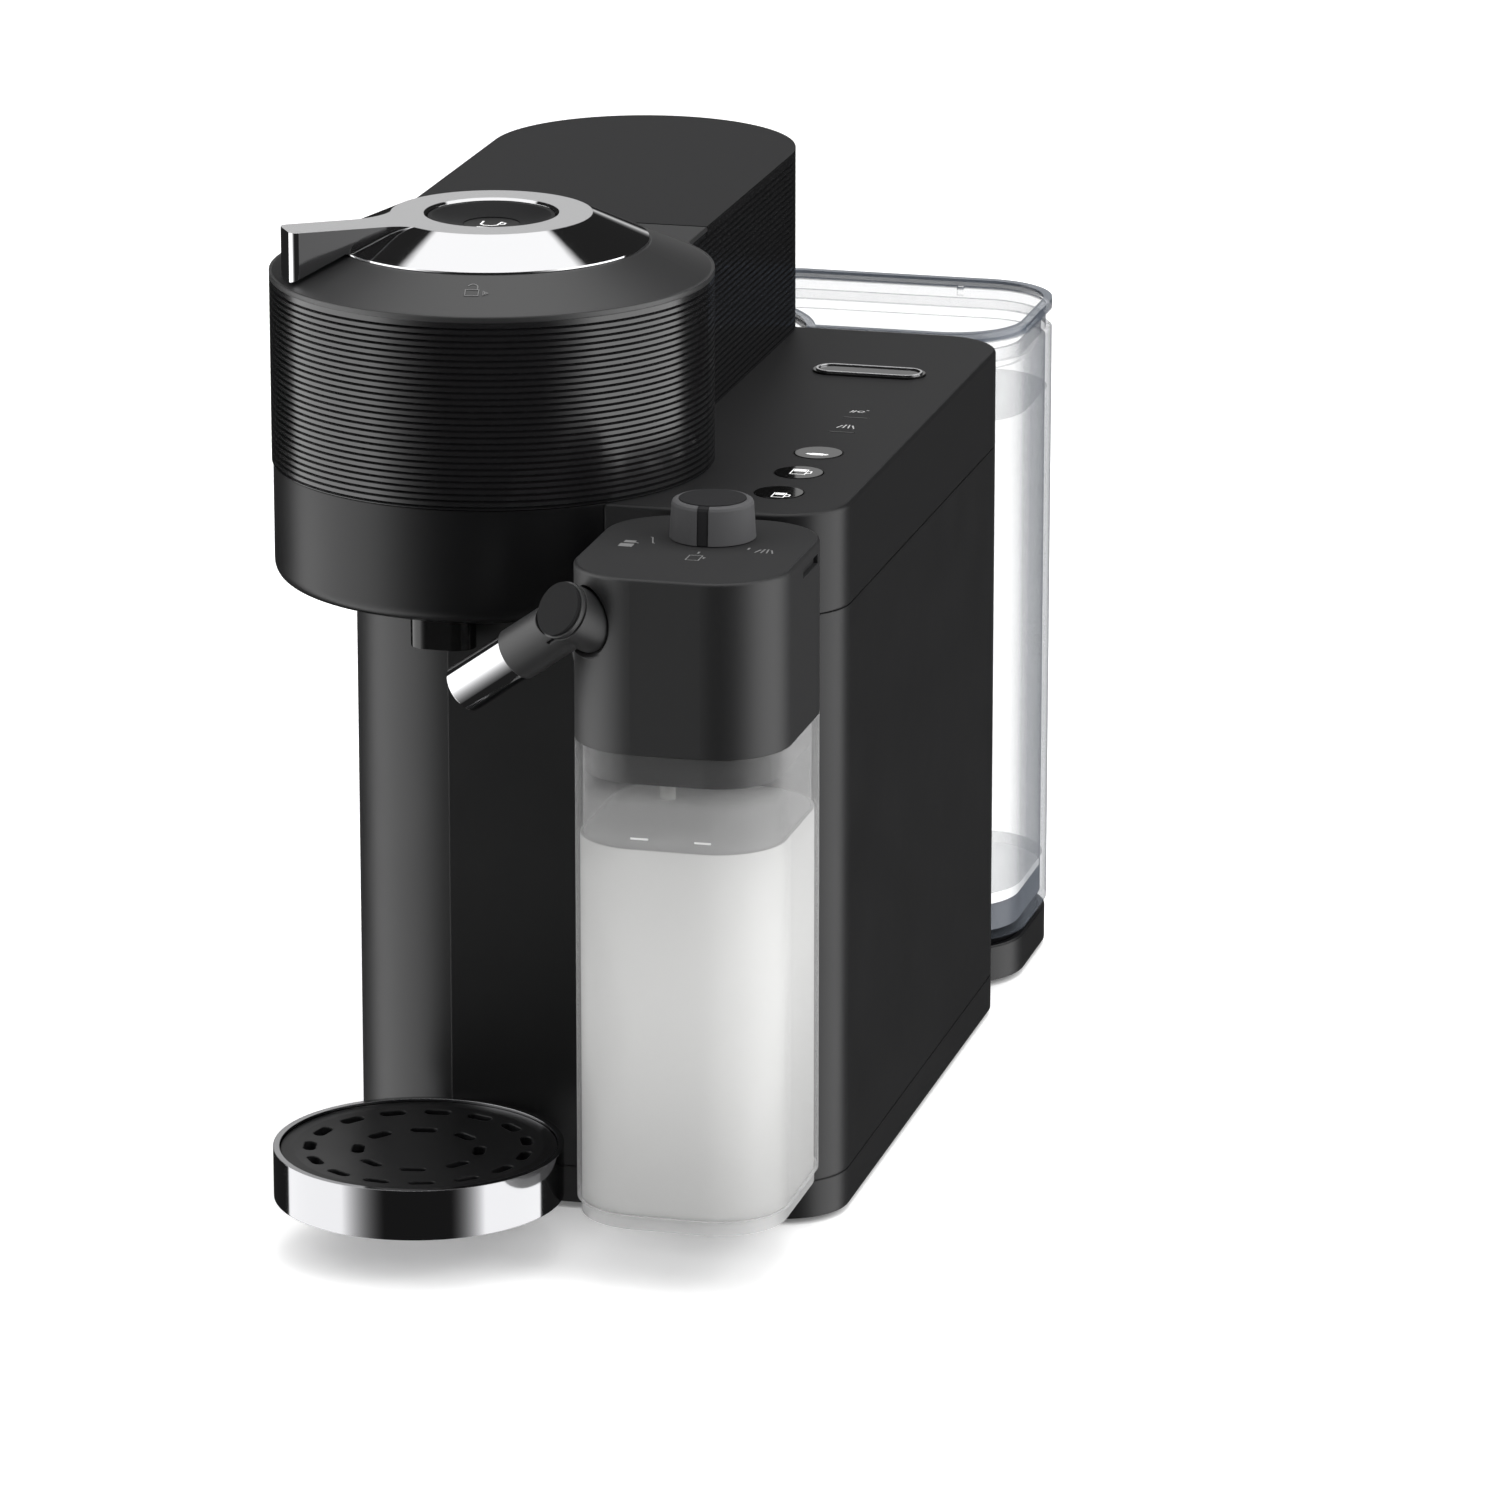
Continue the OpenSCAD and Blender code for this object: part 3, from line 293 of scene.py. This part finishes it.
def floor_finish():
    """White floor that keeps its shadow; shiny faces see the studio through it."""
    mat = bpy.data.materials.new("floor white")
    nt = new_tree(mat)
    plain, path = seen_plainly(nt)
    diffuse = add(nt, "ShaderNodeBsdfDiffuse", Color=(0.85, 0.85, 0.85, 1))
    glow = add(nt, "ShaderNodeEmission", Color=(1, 1, 1, 1))
    nearby = add(nt, "ShaderNodeAmbientOcclusion", samples=16, Distance=FLOOR_REACH)
    strength = ramp(nt, nearby.outputs["AO"], *FLOOR_OPENNESS, *FLOOR_GLOW)
    nt.links.new(maths(nt, "MULTIPLY", plain, strength), glow.inputs["Strength"])
    total = add(nt, "ShaderNodeAddShader")
    nt.links.new(diffuse.outputs[0], total.inputs[0])
    nt.links.new(glow.outputs[0], total.inputs[1])
    gate = add(nt, "ShaderNodeMixShader")
    nt.links.new(path["Is Glossy Ray"], gate.inputs[0])
    nt.links.new(total.outputs[0], gate.inputs[1])
    nt.links.new(add(nt, "ShaderNodeBsdfTransparent").outputs[0], gate.inputs[2])
    out = add(nt, "ShaderNodeOutputMaterial")
    nt.links.new(gate.outputs[0], out.inputs[0])
    return mat


def make_floor():
    """A wide round floor just under the feet."""
    bm = bmesh.new()
    bmesh.ops.create_circle(bm, cap_ends=True, radius=FLOOR_RADIUS, segments=64)
    bmesh.ops.translate(bm, verts=bm.verts, vec=(0, 0, -FLOOR_DROP))
    floor = piece_from(bm, "floor", floor_finish())


# ---------------------------------------------------------------- meshes

def piece_from(bm, name, material):
    """The piece that a finished bmesh holds."""
    mesh = bpy.data.meshes.new(name)
    bm.to_mesh(mesh)
    bm.free()
    mesh.materials.append(material)
    return placed(name, mesh)


def prism(name, outline, z0, z1, material):
    """Upright prism over an outline given in metres, its sides shaded as one smooth wall."""
    bm = bmesh.new()
    base = bm.faces.new([bm.verts.new((x, y, z0 * MM)) for x, y in outline])
    grown = bmesh.ops.extrude_face_region(bm, geom=[base])["geom"]
    top = [part for part in grown if isinstance(part, bmesh.types.BMVert)]
    bmesh.ops.translate(bm, verts=top, vec=(0, 0, (z1 - z0) * MM))
    bmesh.ops.recalc_face_normals(bm, faces=bm.faces)
    for side in bm.faces:
        side.smooth = abs(side.normal.z) < 0.5
    return piece_from(bm, name, material)


def arc(cx, cy, r, a0, a1, steps=14):
    """Points on an arc, from a0 to a1 degrees."""
    angles = (math.radians(a0 + (a1 - a0) * i / steps) for i in range(steps + 1))
    return [(cx + r * math.cos(a), cy + r * math.sin(a)) for a in angles]


def rounded(lo, hi, radius, steps=24):
    """Counter-clockwise outline of a rounded rectangle."""
    corners = [(hi[0] - radius, lo[1] + radius, -90), (hi[0] - radius, hi[1] - radius, 0),
               (lo[0] + radius, hi[1] - radius, 90), (lo[0] + radius, lo[1] + radius, 180)]
    return [p for cx, cy, a in corners for p in arc(cx, cy, radius, a, a + 90, steps)]


# ---------------------------------------------------------------- finishes

def grey(value, blue=0.0):
    """A grey or a black, with a trace of blue."""
    return (value, value, value + blue)


def principled(name, colour, rough, metal=0.0, specular=0.5):
    """A plain material with its tree and its shader."""
    mat = bpy.data.materials.new(name)
    nt = new_tree(mat)
    shader = add(nt, "ShaderNodeBsdfPrincipled", Roughness=rough, Metallic=metal)
    shader.inputs["Base Color"].default_value = (*colour, 1)
    shader.inputs["Specular IOR Level"].default_value = specular
    out = add(nt, "ShaderNodeOutputMaterial")
    nt.links.new(shader.outputs[0], out.inputs[0])
    return mat, nt, shader


def grain(nt, shader, scale, strength, edge=0.0):
    """Fine grain from noise on object coordinates; sharp edges look rounded by a radius of edge mm."""
    coord = add(nt, "ShaderNodeTexCoord").outputs["Object"]
    noise = add(nt, "ShaderNodeTexNoise", Scale=scale, Detail=2.0, Roughness=0.6)
    nt.links.new(coord, noise.inputs["Vector"])
    bump = add(nt, "ShaderNodeBump", Strength=strength, Distance=0.0001)
    nt.links.new(noise.outputs[0], bump.inputs["Height"])
    if edge:
        bevel = add(nt, "ShaderNodeBevel", samples=4, Radius=edge * MM)
        nt.links.new(bevel.outputs[0], bump.inputs["Normal"])
    nt.links.new(bump.outputs[0], shader.inputs["Normal"])
    return coord


def uneven_gloss(nt, shader, coord, scale, low, high):
    """Roughness that drifts between low and high over the surface."""
    noise = add(nt, "ShaderNodeTexNoise", Scale=scale, Detail=3.0)
    nt.links.new(coord, noise.inputs["Vector"])
    nt.links.new(ramp(nt, noise.outputs[0], 0.0, 1.0, low, high), shader.inputs["Roughness"])


def painted_top_tone(nt, shader, sides, top):
    """Painted light and shade by facing: one colour on the sides and another, lighter or darker as light
    falls there, on faces that look up; gives 1 on those.
    """
    level = facing_up(nt)
    tint = add(nt, "ShaderNodeMix", data_type="RGBA")
    tint.inputs["A"].default_value = (*sides, 1)
    tint.inputs["B"].default_value = (*top, 1)
    nt.links.new(level, tint.inputs["Factor"])
    nt.links.new(tint.outputs["Result"], shader.inputs["Base Color"])
    return level


def moulded(name, colour, rough, spread=0.04, scale=2600, strength=0.1, edge=0.5, specular=0.35):
    """Moulded plastic with fine grain and slightly uneven gloss."""
    mat, nt, shader = principled(name, colour, rough, specular=specular)
    coord = grain(nt, shader, scale, strength, edge)
    uneven_gloss(nt, shader, coord, 30, rough - spread, rough + spread)
    return mat


def matte_top(name, colour, rough, top_rough, edge, specular):
    """Satin sides and a duller level top."""
    mat, nt, shader = principled(name, colour, rough, specular=specular)
    grain(nt, shader, 2600, 0.06, edge)
    level = facing_up(nt, least=0.98)
    nt.links.new(ramp(nt, level, 0.0, 1.0, rough, top_rough), shader.inputs["Roughness"])
    return mat


def metal(name, colour, rough, spread, scale, strength):
    """Bare or plated metal."""
    mat, nt, shader = principled(name, colour, rough, metal=1.0)
    coord = grain(nt, shader, scale, strength, edge=0.3)
    uneven_gloss(nt, shader, coord, 60, rough - spread, rough + spread)
    return mat


def lever_finish():
    """Polished cone with a satin top face."""
    mat, nt, shader = principled("lever chrome", grey(0.7, 0.01), 0.08, metal=1.0)
    coord = grain(nt, shader, 900, 0.01, edge=0.15)
    flat = maths(nt, "GREATER_THAN", axes(nt, coord)["Z"], (top_of("lever_ring") - 0.08) * MM)
    nt.links.new(ramp(nt, flat, 0, 1, 0.05, 0.18), shader.inputs["Roughness"])
    return mat


def thin_wall(name, colour, rough, face_on, edge_on, hazes=(), specular=0.5):
    """Clear wall that veils little face on and more edge on, and more where a haze sets in."""
    mat, nt, shader = principled(name, colour, rough, specular=specular)
    coord = grain(nt, shader, 300, 0.004)
    uneven_gloss(nt, shader, coord, 40, rough, rough + 0.02)
    facing = add(nt, "ShaderNodeLayerWeight", Blend=0.5)
    veil = ramp(nt, maths(nt, "POWER", facing.outputs["Facing"], 2.5), 0.0, 1.0, face_on, edge_on)
    height = axes(nt, coord)["Z"]
    for start, end, low, high in hazes:
        veil = maths(nt, "MAXIMUM", veil, ramp(nt, height, start * MM, end * MM, low, high))
    nt.links.new(veil, shader.inputs["Alpha"])
    return mat


def tank_lid_finish():
    """Clear lid, hardly seen but for its raised rim, which is thick enough to look blue-grey."""
    mat, nt, shader = principled("tank lid clear", (0.1, 0.12, 0.155), 0.2)
    coord = grain(nt, shader, 300, 0.004)
    uneven_gloss(nt, shader, coord, 40, 0.15, 0.25)
    height = axes(nt, coord)["Z"]
    top = top_of("tank_lid")
    rim = ramp(nt, height, (top - 4.0) * MM, (top - 3.2) * MM)
    upright = maths(nt, "LESS_THAN", maths(nt, "ABSOLUTE", upward(nt)), 0.6)
    crest = maths(nt, "GREATER_THAN", height, (top - 0.1) * MM)
    thick = maths(nt, "MAXIMUM", maths(nt, "MULTIPLY", rim, upright), crest)
    nt.links.new(ramp(nt, thick, 0.0, 1.0, 0.1, 0.85), shader.inputs["Alpha"])
    return mat


def tank_foot_finish():
    """Smoky sides under a level floor that is painted pale and made to glow, a painted reflection of the
    water above it.
    """
    smoke = (0.17, 0.185, 0.215)
    mat, nt, shader = principled("tank foot", smoke, 0.3)
    coord = grain(nt, shader, 300, 0.004)
    uneven_gloss(nt, shader, coord, 30, 0.25, 0.35)
    # Painted reflection: the level floor is coloured pale and glows, though no lamp is there, in place of
    # the water it would mirror
    level = painted_top_tone(nt, shader, smoke, (0.85, 0.86, 0.87))
    shader.inputs["Emission Color"].default_value = (1, 1, 1, 1)
    nt.links.new(ramp(nt, level, 0.0, 1.0, 0.0, 0.85), shader.inputs["Emission Strength"])
    return mat


def milk_finish():
    """Milk: white at its sides, with painted shade on its level top, which lies under the lid."""
    white = grey(0.8, -0.01)
    mat, nt, shader = principled("milk", white, 0.5, specular=0.35)
    coord = grain(nt, shader, 200, 0.01)
    uneven_gloss(nt, shader, coord, 30, 0.45, 0.55)
    # Painted shade: the level top is coloured darker than the sides, for the lid's shade on it
    painted_top_tone(nt, shader, white, grey(0.52))
    return mat


def water_finish():
    """Water: barely seen through its sides, light grey at its level surface."""
    mat, nt, shader = principled("water", (0.5, 0.52, 0.54), 0.05)
    coord = grain(nt, shader, 20, 0.002)
    uneven_gloss(nt, shader, coord, 20, 0.03, 0.07)
    nt.links.new(ramp(nt, facing_up(nt), 0.0, 1.0, 0.03, 0.45), shader.inputs["Alpha"])
    return mat


def lit_print():
    """White print with a lamp behind it."""
    mat, nt, shader = principled("lit print", grey(0.8), 0.5)
    shader.inputs["Emission Color"].default_value = (1, 1, 1, 1)
    shader.inputs["Emission Strength"].default_value = 0.45
    uneven_gloss(nt, shader, grain(nt, shader, 900, 0.02), 30, 0.45, 0.55)
    return mat


# The trace of blue in black plastic, and the finer grain of polished plastic
COOL = 0.0005
POLISHED = {"spread": 0.02, "scale": 900}

shell_black = moulded("shell black", grey(0.009, COOL), 0.39, edge=0.7, specular=0.42)
rib_black = moulded("rib black", grey(0.009, COOL), 0.2, strength=0.02, edge=0, specular=0.85)
cover_black = matte_top("cover black", grey(0.01, COOL), 0.22, 0.78, edge=0, specular=0.42)
deck_black = matte_top("deck black", grey(0.009, COOL), 0.39, 0.6, edge=0.7, specular=0.42)
# The band's black is set darker than the shell's: painted shade on the band under the ribbed drum
band_black_painted_shade = moulded("band black", grey(0.005, COOL), 0.34, edge=0.7, specular=0.36)
# The cap's black is set lighter than the shell's: a painted sheen on its cone
cap_black_painted_sheen = matte_top("cap black", grey(0.022, COOL), 0.38, 0.78, edge=0.7, specular=0.75)
carafe_black = matte_top("carafe black", grey(0.008, COOL), 0.5, 0.8, edge=0.5, specular=0.64)
# The spout's black is set lighter than the shell's: a painted highlight on its elbow
spout_black_painted_sheen = moulded("spout black", grey(0.018, COOL), 0.45, edge=0.5, specular=0.75)
# The pedestal's black is set darker than the shell's and hardly mirrors: painted shade under the tank
pedestal_black_painted_shade = moulded("pedestal black", grey(0.004, COOL), 0.5, specular=0.02)
button_black = moulded("button black", grey(0.012, COOL), 0.5, spread=0.03, scale=900, strength=0.02,
                       edge=0.3, specular=0.1)
gloss_black = moulded("gloss black", grey(0.005), 0.1, **POLISHED, strength=0.01, edge=0.3, specular=0.5)
lens_black = moulded("lens black", grey(0.004), 0.3, **POLISHED, strength=0.005, edge=0.2, specular=0.05)
key_black = moulded("key black", grey(0.004), 0.06, **POLISHED, strength=0.005, edge=0.2, specular=0.5)
knob_grey = moulded("knob grey", grey(0.09, 0.003), 0.6, edge=0.3, specular=0.2)
knob_black = moulded("knob black", grey(0.02, 0.001), 0.6, edge=0.3, specular=0.1)
rubber = moulded("rubber", grey(0.02), 0.7)
hose_white = moulded("hose white", grey(0.6, -0.02), 0.5)
board_green = moulded("board green", (0.02, 0.1, 0.04), 0.5)
print_white = moulded("print white", grey(0.85), 0.5, edge=0)
print_grey = moulded("print grey", grey(0.55), 0.5, edge=0)
print_dim = moulded("print dim", grey(0.2), 0.5, edge=0)
print_lit = lit_print()
chrome = metal("chrome", grey(0.62, 0.01), 0.05, spread=0.02, scale=400, strength=0.006)
stand_chrome = metal("stand chrome", grey(0.4, 0.01), 0.08, spread=0.02, scale=400, strength=0.006)
steel = metal("steel", grey(0.6, 0.01), 0.3, spread=0.05, scale=800, strength=0.05)
cast_metal = metal("cast metal", grey(0.4, 0.01), 0.5, spread=0.05, scale=1200, strength=0.3)
lever_chrome = lever_finish()
tank_clear = thin_wall("tank clear", (0.15, 0.165, 0.19), 0.1, face_on=0.055, edge_on=0.8, specular=0.0)
tank_lid_clear = tank_lid_finish()
tank_foot_smoke_and_glow = tank_foot_finish()
jug_clear = thin_wall("jug clear", grey(0.7), 0.25, face_on=0.03, edge_on=0.7, hazes=JUG_HAZES)
milk_white = milk_finish()
water_clear = water_finish()

FINISH = {
    shell_black: ["base_tray", "side_casing", "column_shell", "carafe_dock", "bin_liner", "brew_plate",
                  "drip_tray", "drip_grid", "capsule_bin"],
    deck_black: ["deck_cover"],
    band_black_painted_shade: ["head_base"],
    rib_black: ["head_skirt"],
    cover_black: ["rear_cover"],
    cap_black_painted_sheen: ["head_cap"],
    carafe_black: ["carafe_lid", "lid_plug"],
    spout_black_painted_sheen: ["spout_elbow"],
    pedestal_black_painted_shade: ["tank_pedestal"],
    gloss_black: ["coffee_nozzle", "badge_plate", "indicator_bars"],
    button_black: ["brew_button", "spout_cap"],
    lens_black: ["button_lens"],
    key_black: ["cup_button_small", "cup_button_medium", "cup_button_large"],
    chrome: ["spout_tube", "badge_rim", "steam_nozzle"],
    stand_chrome: ["stand_ring"],
    lever_chrome: ["lever_ring"],
    steel: ["hinge_pin", "piercing_pin", "capsule_cup", "knob_shaft", "spinner_motor"],
    cast_metal: ["thermoblock", "steam_valve"],
    tank_clear: ["tank_body"],
    tank_lid_clear: ["tank_lid"],
    tank_foot_smoke_and_glow: ["tank_foot"],
    jug_clear: ["milk_container"],
    rubber: ["rubber_feet", "cord_gland", "head_seal"],
    knob_grey: ["froth_knob", "tank_spigot", "spout_pivot"],
    knob_black: ["knob_insert"],
    hose_white: ["tank_valve", "suction_tube", "coffee_hose", "water_hose", "pump"],
    board_green: ["switch_board", "control_board"],
}


def paint():
    """Give each node of the part its finish."""
    for material, names in FINISH.items():
        for name in names:
            for slot in nodes[name].material_slots:
                slot.material = material


# ---------------------------------------------------------------- fills

def make_milk():
    """Milk in the carafe, just inside its wall."""
    lo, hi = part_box("milk_container")
    gap = WALL_GAP * MM
    outline = rounded((lo.x + gap, lo.y + gap), (hi.x - gap, hi.y - gap), (JUG_CORNER - WALL_GAP) * MM)
    milk = prism("milk", outline, lo.z / MM + MILK_FLOOR, MILK_LEVEL, milk_white)
    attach(milk, "milk_jug")


def make_water():
    """Water in the tank: its outline follows the hollow that clears the ribbed cover."""
    lo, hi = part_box("tank_body")
    gap = WALL_GAP * MM
    x0, y0, x1, y1 = lo.x + gap, lo.y + gap, hi.x - gap, hi.y - gap
    centre = at(0, COVER_LENGTH, 0)
    radius = (TANK_HOLLOW + WALL_GAP) * MM
    front_x = centre.x + math.sqrt(radius ** 2 - (y0 - centre.y) ** 2)
    left_y = centre.y + math.sqrt(radius ** 2 - (x0 - centre.x) ** 2)
    from_left = math.degrees(math.atan2(left_y - centre.y, x0 - centre.x))
    to_front = math.degrees(math.atan2(y0 - centre.y, front_x - centre.x))
    corner, small = (TANK_CORNER - WALL_GAP) * MM, TANK_SMALL_CORNER * MM
    outline = arc(x1 - corner, y0 + corner, corner, -90, 0)
    outline += arc(x1 - corner, y1 - corner, corner, 0, 90)
    outline += arc(x0 + small, y1 - small, small, 90, 180, steps=5)
    outline += arc(centre.x, centre.y, radius, from_left, to_front)
    water = prism("water", outline, top_of("tank_valve") + VALVE_GAP, WATER_LEVEL, water_clear)
    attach(water, "tank")


# ---------------------------------------------------------------- print

def face(origin, right, up):
    """Matrix whose X and Y run along a face and whose Z leaves it."""
    right, up = Vector(right).normalized(), Vector(up).normalized()
    out = right.cross(up)
    return Matrix.Translation(origin + out * LIFT * MM) @ Matrix((right, up, out)).transposed().to_4x4()


def level_face(x, y, z):
    """Place on a level face, read from the front."""
    return face(at(x, y, z), (1, 0, 0), (0, 1, 0))


def moved(strokes, dx, dy, scale=1.0):
    """Strokes scaled and shifted on their face."""
    return [[(dx + x * scale, dy + y * scale) for x, y in stroke] for stroke in strokes]


def printed(name, strokes, place, material, body, width=STROKE):
    """Thin printed strokes: each is a list of points in millimetres on the face that place turns to."""
    curve = bpy.data.curves.new(name, "CURVE")
    curve.dimensions = "3D"
    curve.bevel_depth = width / 2 * MM
    curve.bevel_resolution = 1
    curve.use_fill_caps = True
    for stroke in strokes:
        closed = stroke[0] == stroke[-1] and len(stroke) > 2
        points = stroke[:-1] if closed else stroke
        spline = curve.splines.new("POLY")
        spline.points.add(len(points) - 1)
        for target, (x, y) in zip(spline.points, points):
            target.co = (x * MM, y * MM, 0, 1)
        spline.use_cyclic_u = closed
    carrier = placed(name, curve)
    mesh = bpy.data.meshes.new_from_object(carrier)
    bpy.data.objects.remove(carrier)
    mesh.transform(place @ Matrix.Diagonal((1, 1, 2 * LIFT / width, 1)))
    mesh.materials.clear()
    mesh.materials.append(material)
    ob = placed(name, mesh)
    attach(ob, body)


def filled(left, right, low, high):
    """Rows of strokes that fill a box."""
    rows = math.ceil((high - low) / (STROKE * HATCH))
    heights = (low + (high - low) * i / rows for i in range(rows + 1))
    return [[(left, y), (right, y)] for y in heights]


def mug(w, h):
    """Mug seen from the side, with its handle at the right and its brim filled."""
    body = [(-w / 2, 0), (w / 2, 0), (w / 2, h), (-w / 2, h), (-w / 2, 0)]
    handle = [(w / 2, h * 0.75), (w / 2 + 1.6, h * 0.65), (w / 2 + 1.6, h * 0.3), (w / 2, h * 0.2)]
    return [body, handle] + filled(-w / 2 + 0.5, w / 2 - 0.5, h * 0.62, h - 0.4)


BOWL = [[(-3.6, 1.5), (3.6, 1.5)], [(-3.9, 1.0), (3.9, 1.0)], [(-3.3, 0.5), (3.3, 0.5)],
        [(-2.3, 0.0), (2.3, 0.0)], [(-2.0, 2.0), (2.0, 2.0)]]
OPEN_CUP = [[(-2.4, 4.6), (-2.2, 1.0), (-1.0, 0), (1.2, 0), (2.2, 1.0), (2.4, 4.6)],
            [(2.6, 3.9), (3.7, 3.6), (3.7, 2.2), (2.7, 1.7)], [(-2.4, -2.0), (1.6, -2.0)]]
CUP = [[(-2.1, 0), (2.1, 0), (2.1, 6.0), (-2.1, 6.0), (-2.1, 0)], [(2.1, 4.6), (3.3, 4.0), (3.1, 2.4)]]
STEAM = [[(-2.9, -2.2), (-1.7, 1.6)], [(-0.9, -2.2), (-0.5, 2.4)], [(1.0, -2.2), (0.6, 2.4)],
         [(3.0, -2.2), (1.8, 1.6)]]
SPARKLE = [[(-2.6, -1.6), (-1.9, 1.4)], [(-1.6, -1.6), (-0.9, 1.4)], arc(1.0, 0.0, 1.1, 0, 330, 10),
           [(2.4, 2.2), (3.4, 2.2)]]
JUG = filled(-2.3, 2.3, -4.0, -0.6) + filled(-1.7, 2.1, 1.2, 3.4) + [[(2.3, 1.6), (3.3, 0.6)]]
TICK = [[(-1.6, 3.6), (-0.9, 3.4), (0.9, -3.4), (1.6, -3.6)]]
DOT = filled(-0.35, 0.35, -0.9, 0.9)
PADLOCK = [[(-2.2, 0), (2.2, 0), (2.2, 3.2), (-2.2, 3.2), (-2.2, 0)],
           [(1.7, 3.2), (1.7, 4.6)] + arc(0.1, 4.6, 1.6, 0, 165, 10)]
POINTER = [[(3.7, 0.3), (5.3, 1.4), (3.7, 2.5), (3.7, 0.3)], [(4.0, 1.0), (4.4, 1.4), (4.0, 1.8)]]
DASHES = [[(-13.3, 0), (-7.4, 0)], [(7.8, 0), (13.3, 0)]]

# Marks on level faces: places in millimetres from the drum's axis
KEY_MARKS = [
    ("small", 105.2, -30.6, mug(4.0, 5.4)),
    ("medium", 104.3, 0.4, mug(5.0, 6.4)),
    ("large", 104.4, 27.0, BOWL),
]
DECK_MARKS = [("steam_icon", 104.8, 68.1, STEAM), ("descale_icon", 103.8, 89.5, SPARKLE)]
LID_MARKS = [(JUG, 71.5, -93.4), (TICK, 78.3, -87.8), (CUP, 96.7, -108.9), (DOT, 96.6, -99.4),
             (STEAM, 116.8, -92.7), (DOT, 111.0, -90.8)]


def print_keys():
    """Lit cups on the three cup keys and on the brew button."""
    for size, x, y, strokes in KEY_MARKS:
        place = level_face(x, y, top_of("cup_button_" + size))
        printed(size + "_icon", strokes, place, print_lit, size + "_cup_key", ICON_STROKE)
    cup = moved(OPEN_CUP, -0.4, -3.0, scale=1.3)
    printed("brew_icon", cup, level_face(0, 0, top_of("button_lens")), print_lit, "brew_key", BREW_STROKE)


def print_deck():
    """Steam and cleaning marks behind the keys."""
    for name, x, y, strokes in DECK_MARKS:
        printed(name, strokes, level_face(x, y, top_of("deck_cover")), print_grey, "housing", ICON_STROKE)


def print_carafe():
    """Marks round the froth knob, and the dashes at the milk's highest level."""
    marks = [stroke for strokes, x, y in LID_MARKS for stroke in moved(strokes, x, y)]
    printed("lid_icons", marks, level_face(0, 0, top_of("carafe_lid")), print_dim, "carafe", ICON_STROKE)
    front = (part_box("milk_container")[0].y - drum.y) / MM
    side, height = LEVEL_MARK
    wall = face(at(side, front, height), (1, 0, 0), (0, 0, 1))
    printed("level_dashes", DASHES, wall, print_white, "milk_jug", DASH_STROKE)


def print_padlock():
    """Open padlock on the slope of the cap's cone."""
    turn, slope = math.radians(PADLOCK_TURN), math.radians(CONE_SLOPE)
    across = Vector((math.cos(turn), math.sin(turn), 0))
    ahead = Vector((math.sin(turn), -math.cos(turn), 0))
    uphill = Vector((0, 0, math.sin(slope))) - ahead * math.cos(slope)
    spot = ahead * PADLOCK_OUT
    spot.z = top_of("head_cap") - math.tan(slope) * (PADLOCK_OUT - CONE_FLAT)
    printed("padlock_icon", PADLOCK + POINTER, face(at(*spot), across, uphill), print_dim, "head")


make_camera()
make_lamps()
make_world()
make_floor()
paint()
make_milk()
make_water()
print_keys()
print_deck()
print_carafe()
print_padlock()

bpy.context.scene.view_settings.view_transform = "Standard"
